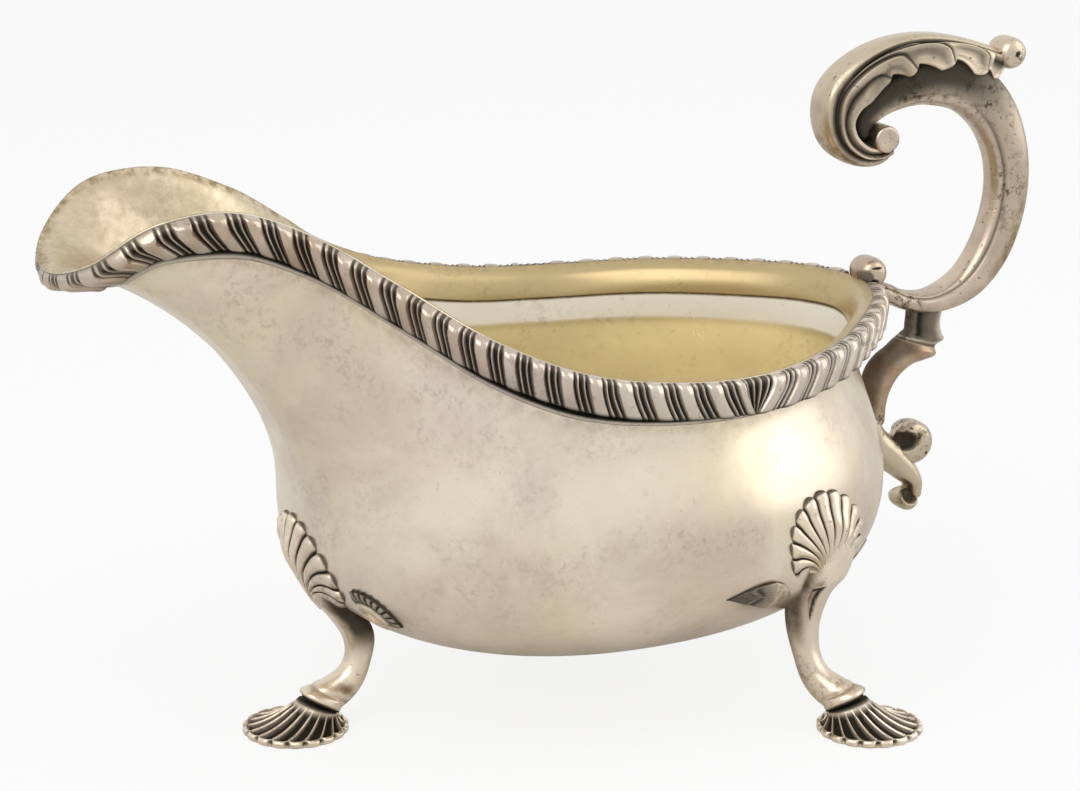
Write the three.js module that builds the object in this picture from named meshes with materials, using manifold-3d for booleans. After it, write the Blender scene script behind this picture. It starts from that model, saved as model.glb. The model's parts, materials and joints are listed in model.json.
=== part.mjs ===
// A silver sauce boat: a raised bowl with a long open lip, a gadrooned rim, a leaf-capped scroll
// handle and three shell-footed legs. Millimetres, +Z up, lip towards -X, handle towards +X.
// The origin is on the table, under the middle of the whole object.
import * as THREE from "three";
import { mergeVertices } from "three/addons/utils/BufferGeometryUtils.js";
import Module from "manifold-3d";

const wasm = await Module();
wasm.setup();

// Driving dimensions: fits
const seatGap = 0.3;

// Bowl
const wall = 1.1;
const rimEdge = 0.35;
const rimBackX = 71;
const rimBackZ = 78.3;
const lipTipX = -99;
const lipTipZ = 97;
const lipHalfWidth = 21.7;
const lipCrownZ = 109.5;
const bowlHalfWidth = 49.4;
const rimLowZ = 75.2;
const bellyZ = 45;
const bellyMiddleX = 8;
const bellyFront = 60;
const bellyBack = 62.5;
const bellyHalfWidth = 50.5;
const floorZ = 14.2;
const bellyBlunt = 2.15;
const bellyTurn = 2.5;
const lipFlare = 52;
const sideFlare = 17;
const backFlare = 30;
const lipShare = 0.2;
const backShare = 0.45;
const rimDive = 0.62;
const lipDive = 0.06;
const bellyDive = 1.15;
const lipBellyDive = 1.55;

// Gadrooned border and the plain wire under it
const gadroonPitch = 5.7;
const gadroonWidth = 6.3;
const lipGadroonWidth = 7.4;
const gadroonHeight = 3.1;
const grooveDepth = 1.3;
const gadroonSlant = 0.85;
const joinFraction = 0.672;
const wireRadius = 0.75;
const wireDrop = 1.6;
const bandTop = 0.25;
const wideBandShare = 0.5;
const wallBandShare = 0.62;

// Handle castings
const handleRootX = 72;
const armHalfWidth = 4;
const leafHalfWidth = 5.2;
const rollEndRadius = 2.8;
const curlRadius = 3.2;
const thumbRadius = 3.1;
const bracketHalfWidth = 3.4;
const tailVoluteRadius = 4.4;
const tailCurlRadius = 2.1;

// Legs
const rearLegTurn = 50;
const legHalfWidth = 3;
const kneeShellHeight = 19.6;
const kneeShellWidth = 21.5;
const kneeRibs = 9;
const footRadius = 10;
const footHeight = 8;
const footReach = 12.4;
const footRoot = 5.6;
const footRibs = 18;
const fanHalfWidth = 3;

const silver = { color: 0xc9bea9, roughness: 0.32, metalness: 1 };
const wornSilver = { color: 0xb8ab95, roughness: 0.36, metalness: 1 };
const giltSilver = { color: 0xcfc4a8, roughness: 0.3, metalness: 1 };

const vec = (x, y, z) => new THREE.Vector3(x, y, z);
const fade = (q) => (Math.abs(q) >= 1 ? 0 : (1 - q * q) ** 2);
const signedPower = (a, p) => Math.sign(a) * Math.abs(a) ** p;

// Closed meshes, and the cuts made with them

function closedMesh(points, triangles) {
  let volume = 0;
  for (const [a, b, c] of triangles) {
    volume += points[a].dot(points[b].clone().cross(points[c])) / 6;
  }
  const faces = volume < 0 ? triangles.map(([a, b, c]) => [a, c, b]) : triangles;
  const geometry = new THREE.BufferGeometry();
  geometry.setAttribute("position", new THREE.Float32BufferAttribute(points.flatMap((p) => p.toArray()), 3));
  geometry.setIndex(faces.flat());
  return geometry;
}

function middleOf(points) {
  const sum = points.reduce((total, p) => total.add(p), vec(0, 0, 0));
  return sum.divideScalar(points.length);
}

// A skin over rings of equal count, each end closed by a fan from the ring's middle.
function loft(rings) {
  const count = rings[0].length;
  const points = rings.flat();
  const triangles = [];
  for (let i = 0; i < rings.length - 1; i++) {
    for (let j = 0; j < count; j++) {
      const a = i * count + j;
      const b = i * count + ((j + 1) % count);
      triangles.push([a, b, b + count], [a, b + count, a + count]);
    }
  }
  const last = (rings.length - 1) * count;
  const first = points.push(middleOf(rings[0])) - 1;
  const end = points.push(middleOf(rings[rings.length - 1])) - 1;
  for (let j = 0; j < count; j++) {
    const k = (j + 1) % count;
    triangles.push([first, k, j], [end, last + j, last + k]);
  }
  return closedMesh(points, triangles);
}

// A skin over rings that each run out along a face and home along its back, closed at both ends
// by strips from face to back.
function slab(rings) {
  const count = rings[0].length;
  const points = rings.flat();
  const triangles = [];
  for (let i = 0; i < rings.length - 1; i++) {
    stitch(triangles, i * count, count, false);
  }
  const last = (rings.length - 1) * count;
  for (let c = 0; c < count / 2 - 1; c++) {
    const behind = count - 1 - c;
    triangles.push([c, behind, c + 1], [c + 1, behind, behind - 1]);
    triangles.push([last + c, last + c + 1, last + behind], [last + c + 1, last + behind - 1, last + behind]);
  }
  return closedMesh(points, triangles);
}

function solidOf(geometry) {
  const bare = new THREE.BufferGeometry();
  bare.setAttribute("position", geometry.getAttribute("position"));
  bare.setIndex(geometry.index);
  const merged = mergeVertices(bare, 1e-4);
  return new wasm.Manifold(new wasm.Mesh({
    numProp: 3,
    vertProperties: Float32Array.from(merged.getAttribute("position").array),
    triVerts: Uint32Array.from(merged.index.array),
  }));
}

function geometryOf(solid) {
  const mesh = solid.getMesh();
  const geometry = new THREE.BufferGeometry();
  geometry.setAttribute("position", new THREE.BufferAttribute(Float32Array.from(mesh.vertProperties), 3));
  geometry.setIndex(new THREE.BufferAttribute(Uint32Array.from(mesh.triVerts), 1));
  return geometry;
}

// What is left of a piece once its neighbours are cut away, without the loose slivers.
function trimmed(geometry, ...cutters) {
  let solid = solidOf(geometry);
  for (const cutter of cutters) {
    solid = solid.subtract(cutter);
  }
  const parts = solid.decompose();
  return geometryOf(parts.reduce((best, part) => (part.volume() > best.volume() ? part : best)));
}

// The rim line, from the lip's tip round one side to the handle: x, half width, height

const rimSpan = rimBackX - lipTipX;
const lipRise = lipCrownZ - rimLowZ;
const widening = bowlHalfWidth - lipHalfWidth;
const rimHalf = [
  [lipTipX, 0, lipTipZ],
  [lipTipX + 0.0235 * rimSpan, 0.68 * lipHalfWidth, lipTipZ + 0.105 * lipRise],
  [lipTipX + 0.0853 * rimSpan, 0.97 * lipHalfWidth, lipCrownZ - 0.038 * lipRise],
  [lipTipX + 0.1706 * rimSpan, lipHalfWidth, lipCrownZ],
  [lipTipX + 0.2529 * rimSpan, lipHalfWidth + 0.029 * widening, rimLowZ + 0.8484 * lipRise],
  [lipTipX + 0.3353 * rimSpan, lipHalfWidth + 0.3321 * widening, rimLowZ + 0.586 * lipRise],
  [lipTipX + 0.4118 * rimSpan, 0.87 * bowlHalfWidth, rimLowZ + 0.3324 * lipRise],
  [lipTipX + 0.5059 * rimSpan, 0.99 * bowlHalfWidth, rimLowZ + 0.1341 * lipRise],
  [lipTipX + 0.6176 * rimSpan, bowlHalfWidth, rimLowZ + 0.0262 * lipRise],
  [rimBackX - 0.2735 * rimSpan, 0.965 * bowlHalfWidth, rimLowZ],
  [rimBackX - 0.1676 * rimSpan, 0.8 * bowlHalfWidth, rimLowZ + 0.355 * (rimBackZ - rimLowZ)],
  [rimBackX - 0.0794 * rimSpan, 0.52 * bowlHalfWidth, rimLowZ + 0.742 * (rimBackZ - rimLowZ)],
  [rimBackX - 0.0212 * rimSpan, 0.25 * bowlHalfWidth, rimLowZ + 0.968 * (rimBackZ - rimLowZ)],
  [rimBackX, 0, rimBackZ],
];
const rimFarSide = rimHalf.map(([x, y, z]) => vec(x, y, z));
const rimNearSide = rimHalf.slice(1, -1).reverse().map(([x, y, z]) => vec(x, -y, z));
const rimCurve = new THREE.CatmullRomCurve3([...rimFarSide, ...rimNearSide], true, "centripetal");
rimCurve.arcLengthDivisions = 2000;
const rimLength = rimCurve.getLength();

// The bowl's lower half in closed form: a place at an angle round its middle and at a height.
function bellySpread(z) {
  const drop = Math.max(0, (bellyZ - z) / (bellyZ - floorZ));
  return Math.max(0, 1 - drop ** bellyTurn) ** (1 / bellyTurn);
}

// How far out a place lies, as a share of the belly's own reach in that direction at that height.
function bellyShare({ x, y, z }) {
  const reach = x < bellyMiddleX ? bellyFront : bellyBack;
  const along = (Math.abs(x - bellyMiddleX) / reach) ** bellyBlunt;
  const across = (Math.abs(y) / bellyHalfWidth) ** bellyBlunt;
  return (along + across) ** (1 / bellyBlunt) / Math.max(0.05, bellySpread(z));
}

function onBelly(degrees, z, rise = 0) {
  const a = THREE.MathUtils.degToRad(degrees);
  const ray = vec(bellyMiddleX + Math.cos(a), Math.sin(a), z);
  const reach = 1 / bellyShare(ray);
  return vec(bellyMiddleX + (reach + rise) * Math.cos(a), (reach + rise) * Math.sin(a), z);
}

// A place moved level outwards, if it has to be, until it stands proud of the belly.
function offBelly(place, rise) {
  const plan = vec(place.x - bellyMiddleX, place.y, 0);
  const reach = plan.length() / bellyShare(place) + rise;
  if (plan.length() >= reach) return place;
  plan.setLength(reach);
  return vec(bellyMiddleX + plan.x, plan.y, place.z);
}

// A place on the bowl's outside: s runs once round the rim from the lip's tip, v runs from the rim (0)
// down to the belly (1) and under to the middle of the floor (2).

const wrap = (s) => s - Math.floor(s);
const backness = (s) => 1 - Math.abs(2 * wrap(s) - 1);

function bellyPoint(s) {
  const k = backness(s);
  const side = wrap(s) < 0.5 ? 1 : -1;
  const angle = Math.PI * k * (0.2 + 0.8 * k);
  const along = signedPower(Math.cos(angle), 2 / bellyBlunt);
  const across = signedPower(Math.sin(angle), 2 / bellyBlunt);
  const reach = along > 0 ? bellyFront : bellyBack;
  return vec(bellyMiddleX - along * reach, side * across * bellyHalfWidth, bellyZ);
}

function rimInward(s) {
  const tangent = rimCurve.getTangentAt(wrap(s));
  const inward = vec(tangent.y, -tangent.x, 0);
  return inward.normalize();
}

function outside(s, v) {
  const belly = bellyPoint(s);
  if (v > 1) {
    const turn = ((v - 1) * Math.PI) / 2;
    const spread = Math.max(0, Math.cos(turn)) ** (2 / bellyTurn);
    const drop = Math.max(0, Math.sin(turn)) ** (2 / bellyTurn);
    const x = bellyMiddleX + (belly.x - bellyMiddleX) * spread;
    return vec(x, belly.y * spread, bellyZ - (bellyZ - floorZ) * drop);
  }
  const k = backness(s);
  const rim = rimCurve.getPointAt(wrap(s));
  const rise = rim.z - bellyZ;
  const tip = fade(k / lipShare);
  const back = fade((1 - k) / backShare);
  const flare = sideFlare + (lipFlare - sideFlare) * tip + (backFlare - sideFlare) * back;
  const dive = rimDive + (lipDive - rimDive) * tip;
  const start = rimInward(s).multiplyScalar(flare).add(vec(0, 0, -rise * dive));
  const end = vec(0, 0, -rise * (bellyDive + (lipBellyDive - bellyDive) * tip));
  const v2 = v * v;
  const v3 = v2 * v;
  return rim.multiplyScalar(2 * v3 - 3 * v2 + 1)
    .addScaledVector(start, v3 - 2 * v2 + v)
    .addScaledVector(belly, 3 * v2 - 2 * v3)
    .addScaledVector(end, v3 - v2);
}

function outwardNormal(s, v) {
  const ds = outside(s + 0.003, v).sub(outside(s - 0.003, v));
  const dv = outside(s, Math.min(2, v + 0.012)).sub(outside(s, v - 0.012));
  return ds.cross(dv).normalize();
}

const bowlColumns = 64;
const bowlRows = [0, 0.07, 0.15, 0.24, 0.35, 0.48, 0.64, 0.82, 1, 1.2, 1.4, 1.6, 1.8];

// Rows of points round the bowl, moved off its outside by a distance.
function bowlRings(offset, rows, edge = 1) {
  return rows.map((v, row) => {
    const thinned = row === 0 ? edge : Math.min(1, edge + 0.4 * row);
    const ring = [];
    for (let i = 0; i < bowlColumns; i++) {
      const s = i / bowlColumns;
      ring.push(outside(s, v).addScaledVector(outwardNormal(s, v), offset * thinned));
    }
    return ring;
  });
}

function floorPoint(offset) {
  return vec(bellyMiddleX, 0, floorZ - offset);
}

function stitch(triangles, start, count, flip) {
  for (let j = 0; j < count; j++) {
    const a = start + j;
    const b = start + ((j + 1) % count);
    const quad = [[a, b, b + count], [a, b + count, a + count]];
    triangles.push(...(flip ? quad.map(([p, q, r]) => [p, r, q]) : quad));
  }
}

function bowlGeometry() {
  const outer = bowlRings(0, bowlRows);
  const inner = bowlRings(-wall, bowlRows, rimEdge);
  const points = [...outer.flat(), ...inner.flat()];
  const n = bowlColumns;
  const half = outer.length * n;
  const triangles = [];
  for (let i = 0; i < outer.length - 1; i++) {
    stitch(triangles, i * n, n, false);
    stitch(triangles, half + i * n, n, true);
  }
  const under = points.push(floorPoint(0)) - 1;
  const within = points.push(floorPoint(-wall)) - 1;
  for (let j = 0; j < n; j++) {
    const k = (j + 1) % n;
    triangles.push([j, half + j, half + k], [j, half + k, k]);
    triangles.push([half - n + j, half - n + k, under]);
    triangles.push([2 * half - n + k, 2 * half - n + j, within]);
  }
  return closedMesh(points, triangles);
}

// The bowl with its mouth filled and the seat clearance added, which cuts whatever is soldered to it.
function bowlKeepOut() {
  const rings = bowlRings(seatGap, bowlRows);
  const overEdge = (offset) => rings[0].map((p, i) => {
    const s = i / bowlColumns;
    const upTheWall = outside(s, 0).sub(outside(s, 0.02)).normalize();
    return outside(s, 0).addScaledVector(outwardNormal(s, 0), offset).addScaledVector(upTheWall, seatGap);
  });
  rings.unshift(overEdge(-wall * rimEdge - seatGap), overEdge(seatGap));
  const points = rings.flat();
  const n = bowlColumns;
  const triangles = [];
  for (let i = 0; i < rings.length - 1; i++) {
    stitch(triangles, i * n, n, false);
  }
  const lid = points.push(vec(bellyMiddleX, 0, rimBackZ)) - 1;
  const under = points.push(floorPoint(seatGap)) - 1;
  for (let j = 0; j < n; j++) {
    const k = (j + 1) % n;
    triangles.push([lid, k, j], [rings.length * n - n + j, rings.length * n - n + k, under]);
  }
  return solidOf(closedMesh(points, triangles));
}

const keepOut = bowlKeepOut();

// The border: measured down the bowl's outside from the rim, so it follows the hollow under it

function downTheWall(s, distance) {
  const step = 0.01;
  let v = 0;
  let here = outside(s, 0);
  let walked = 0;
  while (v < 0.6) {
    const next = outside(s, v + step);
    const length = next.distanceTo(here);
    if (walked + length >= distance) {
      v += (step * (distance - walked)) / length;
      break;
    }
    walked += length;
    v += step;
    here = next;
  }
  return { point: outside(s, v), normal: outwardNormal(s, v) };
}

function offWall(s, distance, height) {
  const { point, normal } = downTheWall(s, distance);
  return point.addScaledVector(normal, seatGap + height);
}

// A place hung from the rim: a distance straight down and another straight out.
function offRim(s, distance, height) {
  const level = rimInward(s).negate();
  const along = rimCurve.getTangentAt(wrap(s));
  const down = level.clone().cross(along).normalize();
  if (down.z > 0) down.negate();
  return outside(s, 0).addScaledVector(down, distance).addScaledVector(level, seatGap + height);
}

function bandWidth(s) {
  return gadroonWidth + (lipGadroonWidth - gadroonWidth) * fade(backness(s) / wideBandShare);
}

const rootClear = (armHalfWidth + 2 * seatGap) / rimLength;
const tipClear = seatGap / rimLength;

// One strip of lobes between two places on the rim; lean is +1 where the lobes run back as they go down.
function gadroonStrip(from, to, lean) {
  const lobes = Math.round((Math.abs(to - from) * rimLength) / gadroonPitch);
  const columns = lobes * 3;
  const rows = [[0, 0.35], [0.3, 1], [0.68, 0.95], [1, 0.25]];
  const rings = [];
  for (let c = 0; c <= columns; c++) {
    const groove = c % 3 === 0;
    const base = from + ((to - from) * c) / columns;
    const ring = [];
    const place = (across) => {
      const taper = Math.min(1, 4 * Math.min(c, columns - c) / columns);
      const lead = lean * taper * gadroonSlant * gadroonPitch * (across - 0.5) / rimLength;
      return base + lead;
    };
    for (const [across, rise] of rows) {
      const s = place(across);
      const height = gadroonHeight * rise - (groove ? grooveDepth * rise : 0);
      const distance = bandTop + across * (bandWidth(s) - bandTop);
      const hung = 1 - fade(backness(s) / wallBandShare);
      ring.push(offWall(s, distance, height).lerp(offRim(s, 1.05 * distance, height), hung));
    }
    ring.push(offWall(place(1), bandWidth(place(1)), 0));
    ring.push(offWall(place(0.5), 0.5 * bandWidth(place(0.5)), 0));
    ring.push(offWall(place(0), bandTop, 0));
    rings.push(ring);
  }
  return loft(rings);
}

function wireStrip(from, to) {
  const steps = 48;
  const rings = [];
  for (let c = 0; c <= steps; c++) {
    const s = from + ((to - from) * c) / steps;
    const below = bandWidth(s) + seatGap + wireRadius + wireDrop * (1 - fade(backness(s) / wallBandShare));
    const { point, normal } = downTheWall(s, below);
    const lower = downTheWall(s, below + wireRadius).point;
    const down = lower.sub(point).normalize();
    const centre = point.clone().addScaledVector(normal, 1.2 * seatGap + wireRadius);
    const ring = [];
    for (let j = 0; j < 6; j++) {
      const a = (j / 6) * 2 * Math.PI;
      ring.push(centre.clone().addScaledVector(normal, wireRadius * Math.cos(a))
        .addScaledVector(down, wireRadius * Math.sin(a)));
    }
    rings.push(ring);
  }
  return loft(rings);
}

// Handle: castings in the plane y = 0, placed from a root at the rim's back edge

const fromRim = (dx, dz) => vec(handleRootX + dx, 0, rimBackZ + dz);

// A bar along stations of [dx, dz, half thickness, half width] with a section of [across, sideways].
function bar(stations, section, grow = 0) {
  const path = new THREE.CatmullRomCurve3(stations.map(([dx, dz]) => fromRim(dx, dz)), false, "centripetal");
  const rings = stations.map(([dx, dz, thick, wide], i) => {
    const tangent = path.getTangent(i / (stations.length - 1));
    const across = vec(-tangent.z, 0, tangent.x);
    return section.map(([a, b]) => fromRim(dx, dz)
      .addScaledVector(across, a * (thick + grow))
      .add(vec(0, b * (wide + grow), 0)));
  });
  return loft(rings);
}

// A round boss across the handle's plane, domed at both faces.
function boss(dx, dz, radius, halfWidth, grow = 0, sides = 14) {
  const r = radius + grow;
  const w = halfWidth + grow;
  const profile = [[-1, 0.6], [-0.8, 0.92], [-0.3, 1], [0.3, 1], [0.8, 0.92], [1, 0.6]];
  const rings = profile.map(([y, q]) => {
    const ring = [];
    for (let j = 0; j < sides; j++) {
      const a = (j / sides) * 2 * Math.PI;
      ring.push(fromRim(dx + r * q * Math.cos(a), dz + r * q * Math.sin(a)).add(vec(0, y * w, 0)));
    }
    return ring;
  });
  return loft(rings);
}

const armSection = [[1, 0.5], [0.35, 1], [-0.55, 0.85], [-1, 0], [-0.55, -0.85], [0.35, -1], [1, -0.5]];
const softSection = [[1, 0], [0.72, 0.72], [0, 1], [-0.72, 0.72], [-1, 0], [-0.72, -0.72], [0, -1], [0.72, -0.72]];

const w = armHalfWidth;
const armStations = [
  [3.5, 37, 3.4, 0.8 * w], [8.5, 39, 4.3, w], [14.8, 39.4, 4.9, w], [21.8, 37.2, 4.8, w],
  [28, 31.8, 4.6, w], [32.1, 24.6, 4.4, w], [33.5, 17.2, 4.4, w], [32.4, 9.8, 4.3, w],
  [29.5, 2.7, 4.1, w], [24.8, -2.9, 3.5, w], [19.8, -5.5, 2.8, w], [14.6, -6.4, 2.2, 0.95 * w],
  [9, -5.3, 1.9, 0.9 * w], [5.5, -3.6, 1.9, 0.85 * w], [0, -1.8, 1.9, 0.85 * w],
];
const arm = (grow) => bar(armStations, armSection, grow);

const l = leafHalfWidth;
const leafStations = [
  [5.5, 27.2, 1.6, 0.8 * l], [1.5, 25.9, 2.1, 0.9 * l], [-2.8, 26.6, 2.5, l], [-6.3, 29.5, 3, l],
  [-7.6, 33.6, 3.4, l], [-6.6, 38, 3.9, l], [-2.8, 41.9, 3.7, l], [2.5, 44.7, 3.4, l],
  [8.5, 46.2, 3, l], [14.5, 46.4, 2.6, l], [20.5, 45.6, 2.2, 0.95 * l], [26.5, 43.9, 1.8, 0.8 * l],
  [29.6, 42.6, 1.6, 0.6 * l],
];
const leafSection = [[1, 0], [0.75, 0.55], [0.15, 0.95], [-0.9, 1], [-0.75, 0.4], [-0.75, -0.4], [-0.9, -1],
  [0.15, -0.95], [0.75, -0.55]];
const leaf = (grow) => bar(leafStations, leafSection, grow);

const rollEnd = (grow) => boss(2.2, 29.3, rollEndRadius, leafHalfWidth - 0.4, grow);
const topCurl = (grow) => boss(32.6, 44.1, curlRadius, 0.85 * armHalfWidth, grow);
const thumb = (grow) => boss(1.4, 1.2, thumbRadius, 0.85 * armHalfWidth, grow);

const b = bracketHalfWidth;
const bracketStations = [
  [15.2, -6.5, 4.4, b], [14.8, -11.5, 3.7, b], [15.4, -16, 4.1, b], [14.6, -18.8, 3.4, b],
  [11.2, -19.9, 2.9, b], [6.8, -21.8, 3, b], [3.4, -25.4, 2.8, b], [2.1, -30, 2.4, b],
];
const bracket = (grow) => bar(bracketStations, softSection, grow);

const tailStations = [
  [2, -30.6, 2.3, b], [3.4, -35, 2.2, b], [6.6, -39.2, 2.2, b], [10.6, -42.2, 2.1, 0.95 * b],
  [13.6, -44.8, 1.8, 0.85 * b], [14.2, -47.6, 1.5, 0.8 * b],
];
const tail = (grow) => bar(tailStations, softSection, grow);
const tailVolute = (grow) => boss(12.6, -36.4, tailVoluteRadius, 1.05 * b, grow);
const tailCurl = (grow) => boss(11.2, -48.6, tailCurlRadius, b, grow, 12);

// Legs: worked in a frame whose first axis runs outwards from the bowl, second sideways, third up

// One leg's place: its local zero in plan, the way its foot faces, and how its knee is set against
// the belly: drawn in, raised, and turned to face the belly squarely.
const frontPlace = { x: bellyMiddleX - 0.8 * bellyFront, y: 0, turn: 180, kneeIn: 0, kneeUp: 0, kneeTurn: 0 };
const rearNear = {
  x: bellyMiddleX + 0.5392 * bellyBack, y: -0.72475 * bellyHalfWidth,
  turn: -rearLegTurn, kneeIn: 4, kneeUp: 4, kneeTurn: -8,
};
const rearShellNear = { ...rearNear, kneeUp: 5.6, kneeTurn: -38 };
const mirrored = (place) => ({ ...place, y: -place.y, turn: -place.turn, kneeTurn: -place.kneeTurn });
const ankleUp = 11;
const kneeStart = 25;

function onLeg(place, out, sideways, up) {
  const q = THREE.MathUtils.smoothstep(up, ankleUp, kneeStart);
  const a = THREE.MathUtils.degToRad(place.turn + place.kneeTurn * q);
  const base = THREE.MathUtils.degToRad(place.turn);
  return vec(place.x - place.kneeIn * q * Math.cos(base) + out * Math.cos(a) - sideways * Math.sin(a),
    place.y - place.kneeIn * q * Math.sin(base) + out * Math.sin(a) + sideways * Math.cos(a),
    up + place.kneeUp * q);
}

// Stations of [outwards, up, half thickness, half width], from the knee down to the ankle and foot.
const lh = legHalfWidth;
const legStations = [
  [5, 38.5, 4.4, 1.6 * lh], [6, 32.5, 4.8, 1.55 * lh], [4.4, 26.5, 4.3, 1.4 * lh], [1.2, 21.5, 3.5, 1.2 * lh],
  [-0.8, 17, 2.75, lh], [-0.4, 13, 2.3, 0.85 * lh], [1.9, 9.6, 2.5, lh], [5.2, 7, 2.4, 1.15 * lh],
];

function leg(place, grow = 0) {
  const rings = legStations.map(([out, up, thick, wide], i) => {
    const before = legStations[Math.max(0, i - 1)];
    const after = legStations[Math.min(legStations.length - 1, i + 1)];
    const along = Math.hypot(after[0] - before[0], after[1] - before[1]);
    const ax = -(after[1] - before[1]) / along;
    const az = (after[0] - before[0]) / along;
    return softSection.map(([a, c]) => onLeg(place, out + a * (thick + grow) * ax,
      c * (wide + grow), up + a * (thick + grow) * az));
  });
  return loft(rings);
}

// A scallop over a knee: its ribs run from a root at its lower end to an egg-shaped edge.
// The middle rib stands out from the leg's zero as [height, distance outwards].
const kneeRoot = 24;
const kneeLine = [[22, 5.6], [26, 9.2], [30, 11.8], [34, 12.9], [38, 13.2], [41.5, 12.5], [46, 10.5]];
const kneeShares = [0.22, 0.42, 0.62, 0.82, 0.96, 1.02];
const kneeEdgeTurn = 2.6;
const kneeRibRise = 0.5;
const kneeDroop = 7;
const kneeEdgeRise = 1;
const kneeBack = -4;

function lineAt(line, z) {
  const next = Math.max(1, line.findIndex(([height]) => height >= z));
  const [z0, out0] = line[next - 1];
  const [z1, out1] = line[next];
  return out0 + ((out1 - out0) * (z - z0)) / (z1 - z0);
}

function kneeShell(place, grow = 0) {
  const columns = kneeRibs * 2;
  const half = 0.5 * kneeShellWidth + grow;
  const height = kneeShellHeight + 2 * grow;
  const shares = [grow ? 0.005 : 0.06, ...kneeShares];
  const rings = shares.map((share, row) => {
    const face = [];
    const back = [];
    for (let c = 0; c <= columns; c++) {
      const turn = kneeEdgeTurn * ((2 * c) / columns - 1);
      const sideways = share * half * Math.sin(turn);
      const up = kneeRoot - grow + share * height * (0.46 + 0.54 * Math.cos(turn));
      const rib = c % 2 === 1 ? kneeRibRise * share : 0;
      const skirt = row === shares.length - 1 ? 1.6 : 0;
      const out = lineAt(kneeLine, up) + rib + grow - skirt - kneeDroop * (sideways / half) ** 2;
      face.push(offBelly(onLeg(place, out, sideways, up), kneeEdgeRise + grow - skirt));
      back.push(onLeg(place, kneeBack, 0.9 * sideways, up));
    }
    return [...face, ...back.reverse()];
  });
  return slab(rings);
}

// A shell foot: ribs spread from a raised root near the ankle to a scalloped edge on the table.
function footShell(place, grow = 0) {
  const columns = footRibs * 2;
  const rows = [[0.12, 1, 0], [0.4, 0.8, 0.25], [0.72, 0.5, 0.5], [1, 0.28, 0.6], [1, 0, 0.6]];
  const rings = rows.map(([share, rise, rib]) => {
    const ring = [];
    for (let c = 0; c < columns; c++) {
      const a = (c / columns) * 2 * Math.PI;
      const edge = footRadius + grow + (c % 2 ? -rib : rib * 0.3);
      const centre = footRoot + (footReach - footRoot) * share;
      ring.push(onLeg(place, centre + share * edge * Math.cos(a), share * edge * Math.sin(a),
        rise * footHeight - (c % 2 ? 0.5 * rib * (rise > 0) : 0)));
    }
    return ring;
  });
  return loft(rings);
}

// A small scallop that spreads on the belly beside a knee, from a root to a tip, each [degrees, height].
const fanRows = [[0.98, -0.9], [1, 0.6], [0.62, 1.3], [0.22, 1.5]];

function wingFan([rootTurn, rootZ], [tipTurn, tipZ]) {
  const columns = 16;
  const rings = fanRows.map(([share, rise]) => {
    const ring = [];
    for (let c = 0; c < columns; c++) {
      const a = (c / columns) * 2 * Math.PI;
      const r = share * (c % 2 ? 0.92 : 1);
      const along = 0.5 + 0.5 * r * Math.cos(a);
      const degrees = rootTurn + (tipTurn - rootTurn) * along;
      const z = rootZ + (tipZ - rootZ) * along + fanHalfWidth * r * Math.sin(a);
      ring.push(onBelly(degrees, z, rise + seatGap));
    }
    return ring;
  });
  return loft(rings);
}

// The assembly

const boat = new THREE.Group();

function add(name, geometry, finish) {
  const flat = geometry.toNonIndexed();
  flat.computeVertexNormals();
  const mesh = new THREE.Mesh(flat, new THREE.MeshStandardMaterial(finish));
  mesh.name = name;
  boat.add(mesh);
  return mesh;
}

add("bowl", bowlGeometry(), giltSilver);

const joinAt = 0.5 * joinFraction;
const joinClear = seatGap / rimLength / 2;
const backEnd = 0.5 - rootClear;
add("gadroon_front_left", gadroonStrip(tipClear, joinAt - joinClear, 1), silver);
add("gadroon_rear_left", gadroonStrip(joinAt + joinClear, backEnd, -1), silver);
add("gadroon_front_right", gadroonStrip(-tipClear, -joinAt + joinClear, -1), silver);
add("gadroon_rear_right", gadroonStrip(-joinAt - joinClear, -backEnd, 1), silver);
add("rim_wire_left", wireStrip(tipClear * 2, backEnd), silver);
add("rim_wire_right", wireStrip(-tipClear * 2, -backEnd), silver);

const grown = (piece) => solidOf(piece(seatGap));
add("handle_arm", trimmed(arm(0), keepOut, grown(leaf), grown(rollEnd), grown(topCurl)), wornSilver);
add("handle_leaf", trimmed(leaf(0), grown(rollEnd), grown(topCurl)), wornSilver);
add("handle_roll_end", rollEnd(0), wornSilver);
add("handle_top_curl", topCurl(0), wornSilver);
add("handle_thumb_volute", trimmed(thumb(0), keepOut, grown(arm)), wornSilver);
add("handle_bracket", trimmed(bracket(0), keepOut, grown(arm)), wornSilver);
add("handle_tail", trimmed(tail(0), keepOut, grown(bracket)), wornSilver);
add("handle_tail_volute", trimmed(tailVolute(0), grown(tail), keepOut), wornSilver);
add("handle_tail_curl", trimmed(tailCurl(0), grown(tail), keepOut), wornSilver);

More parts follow.
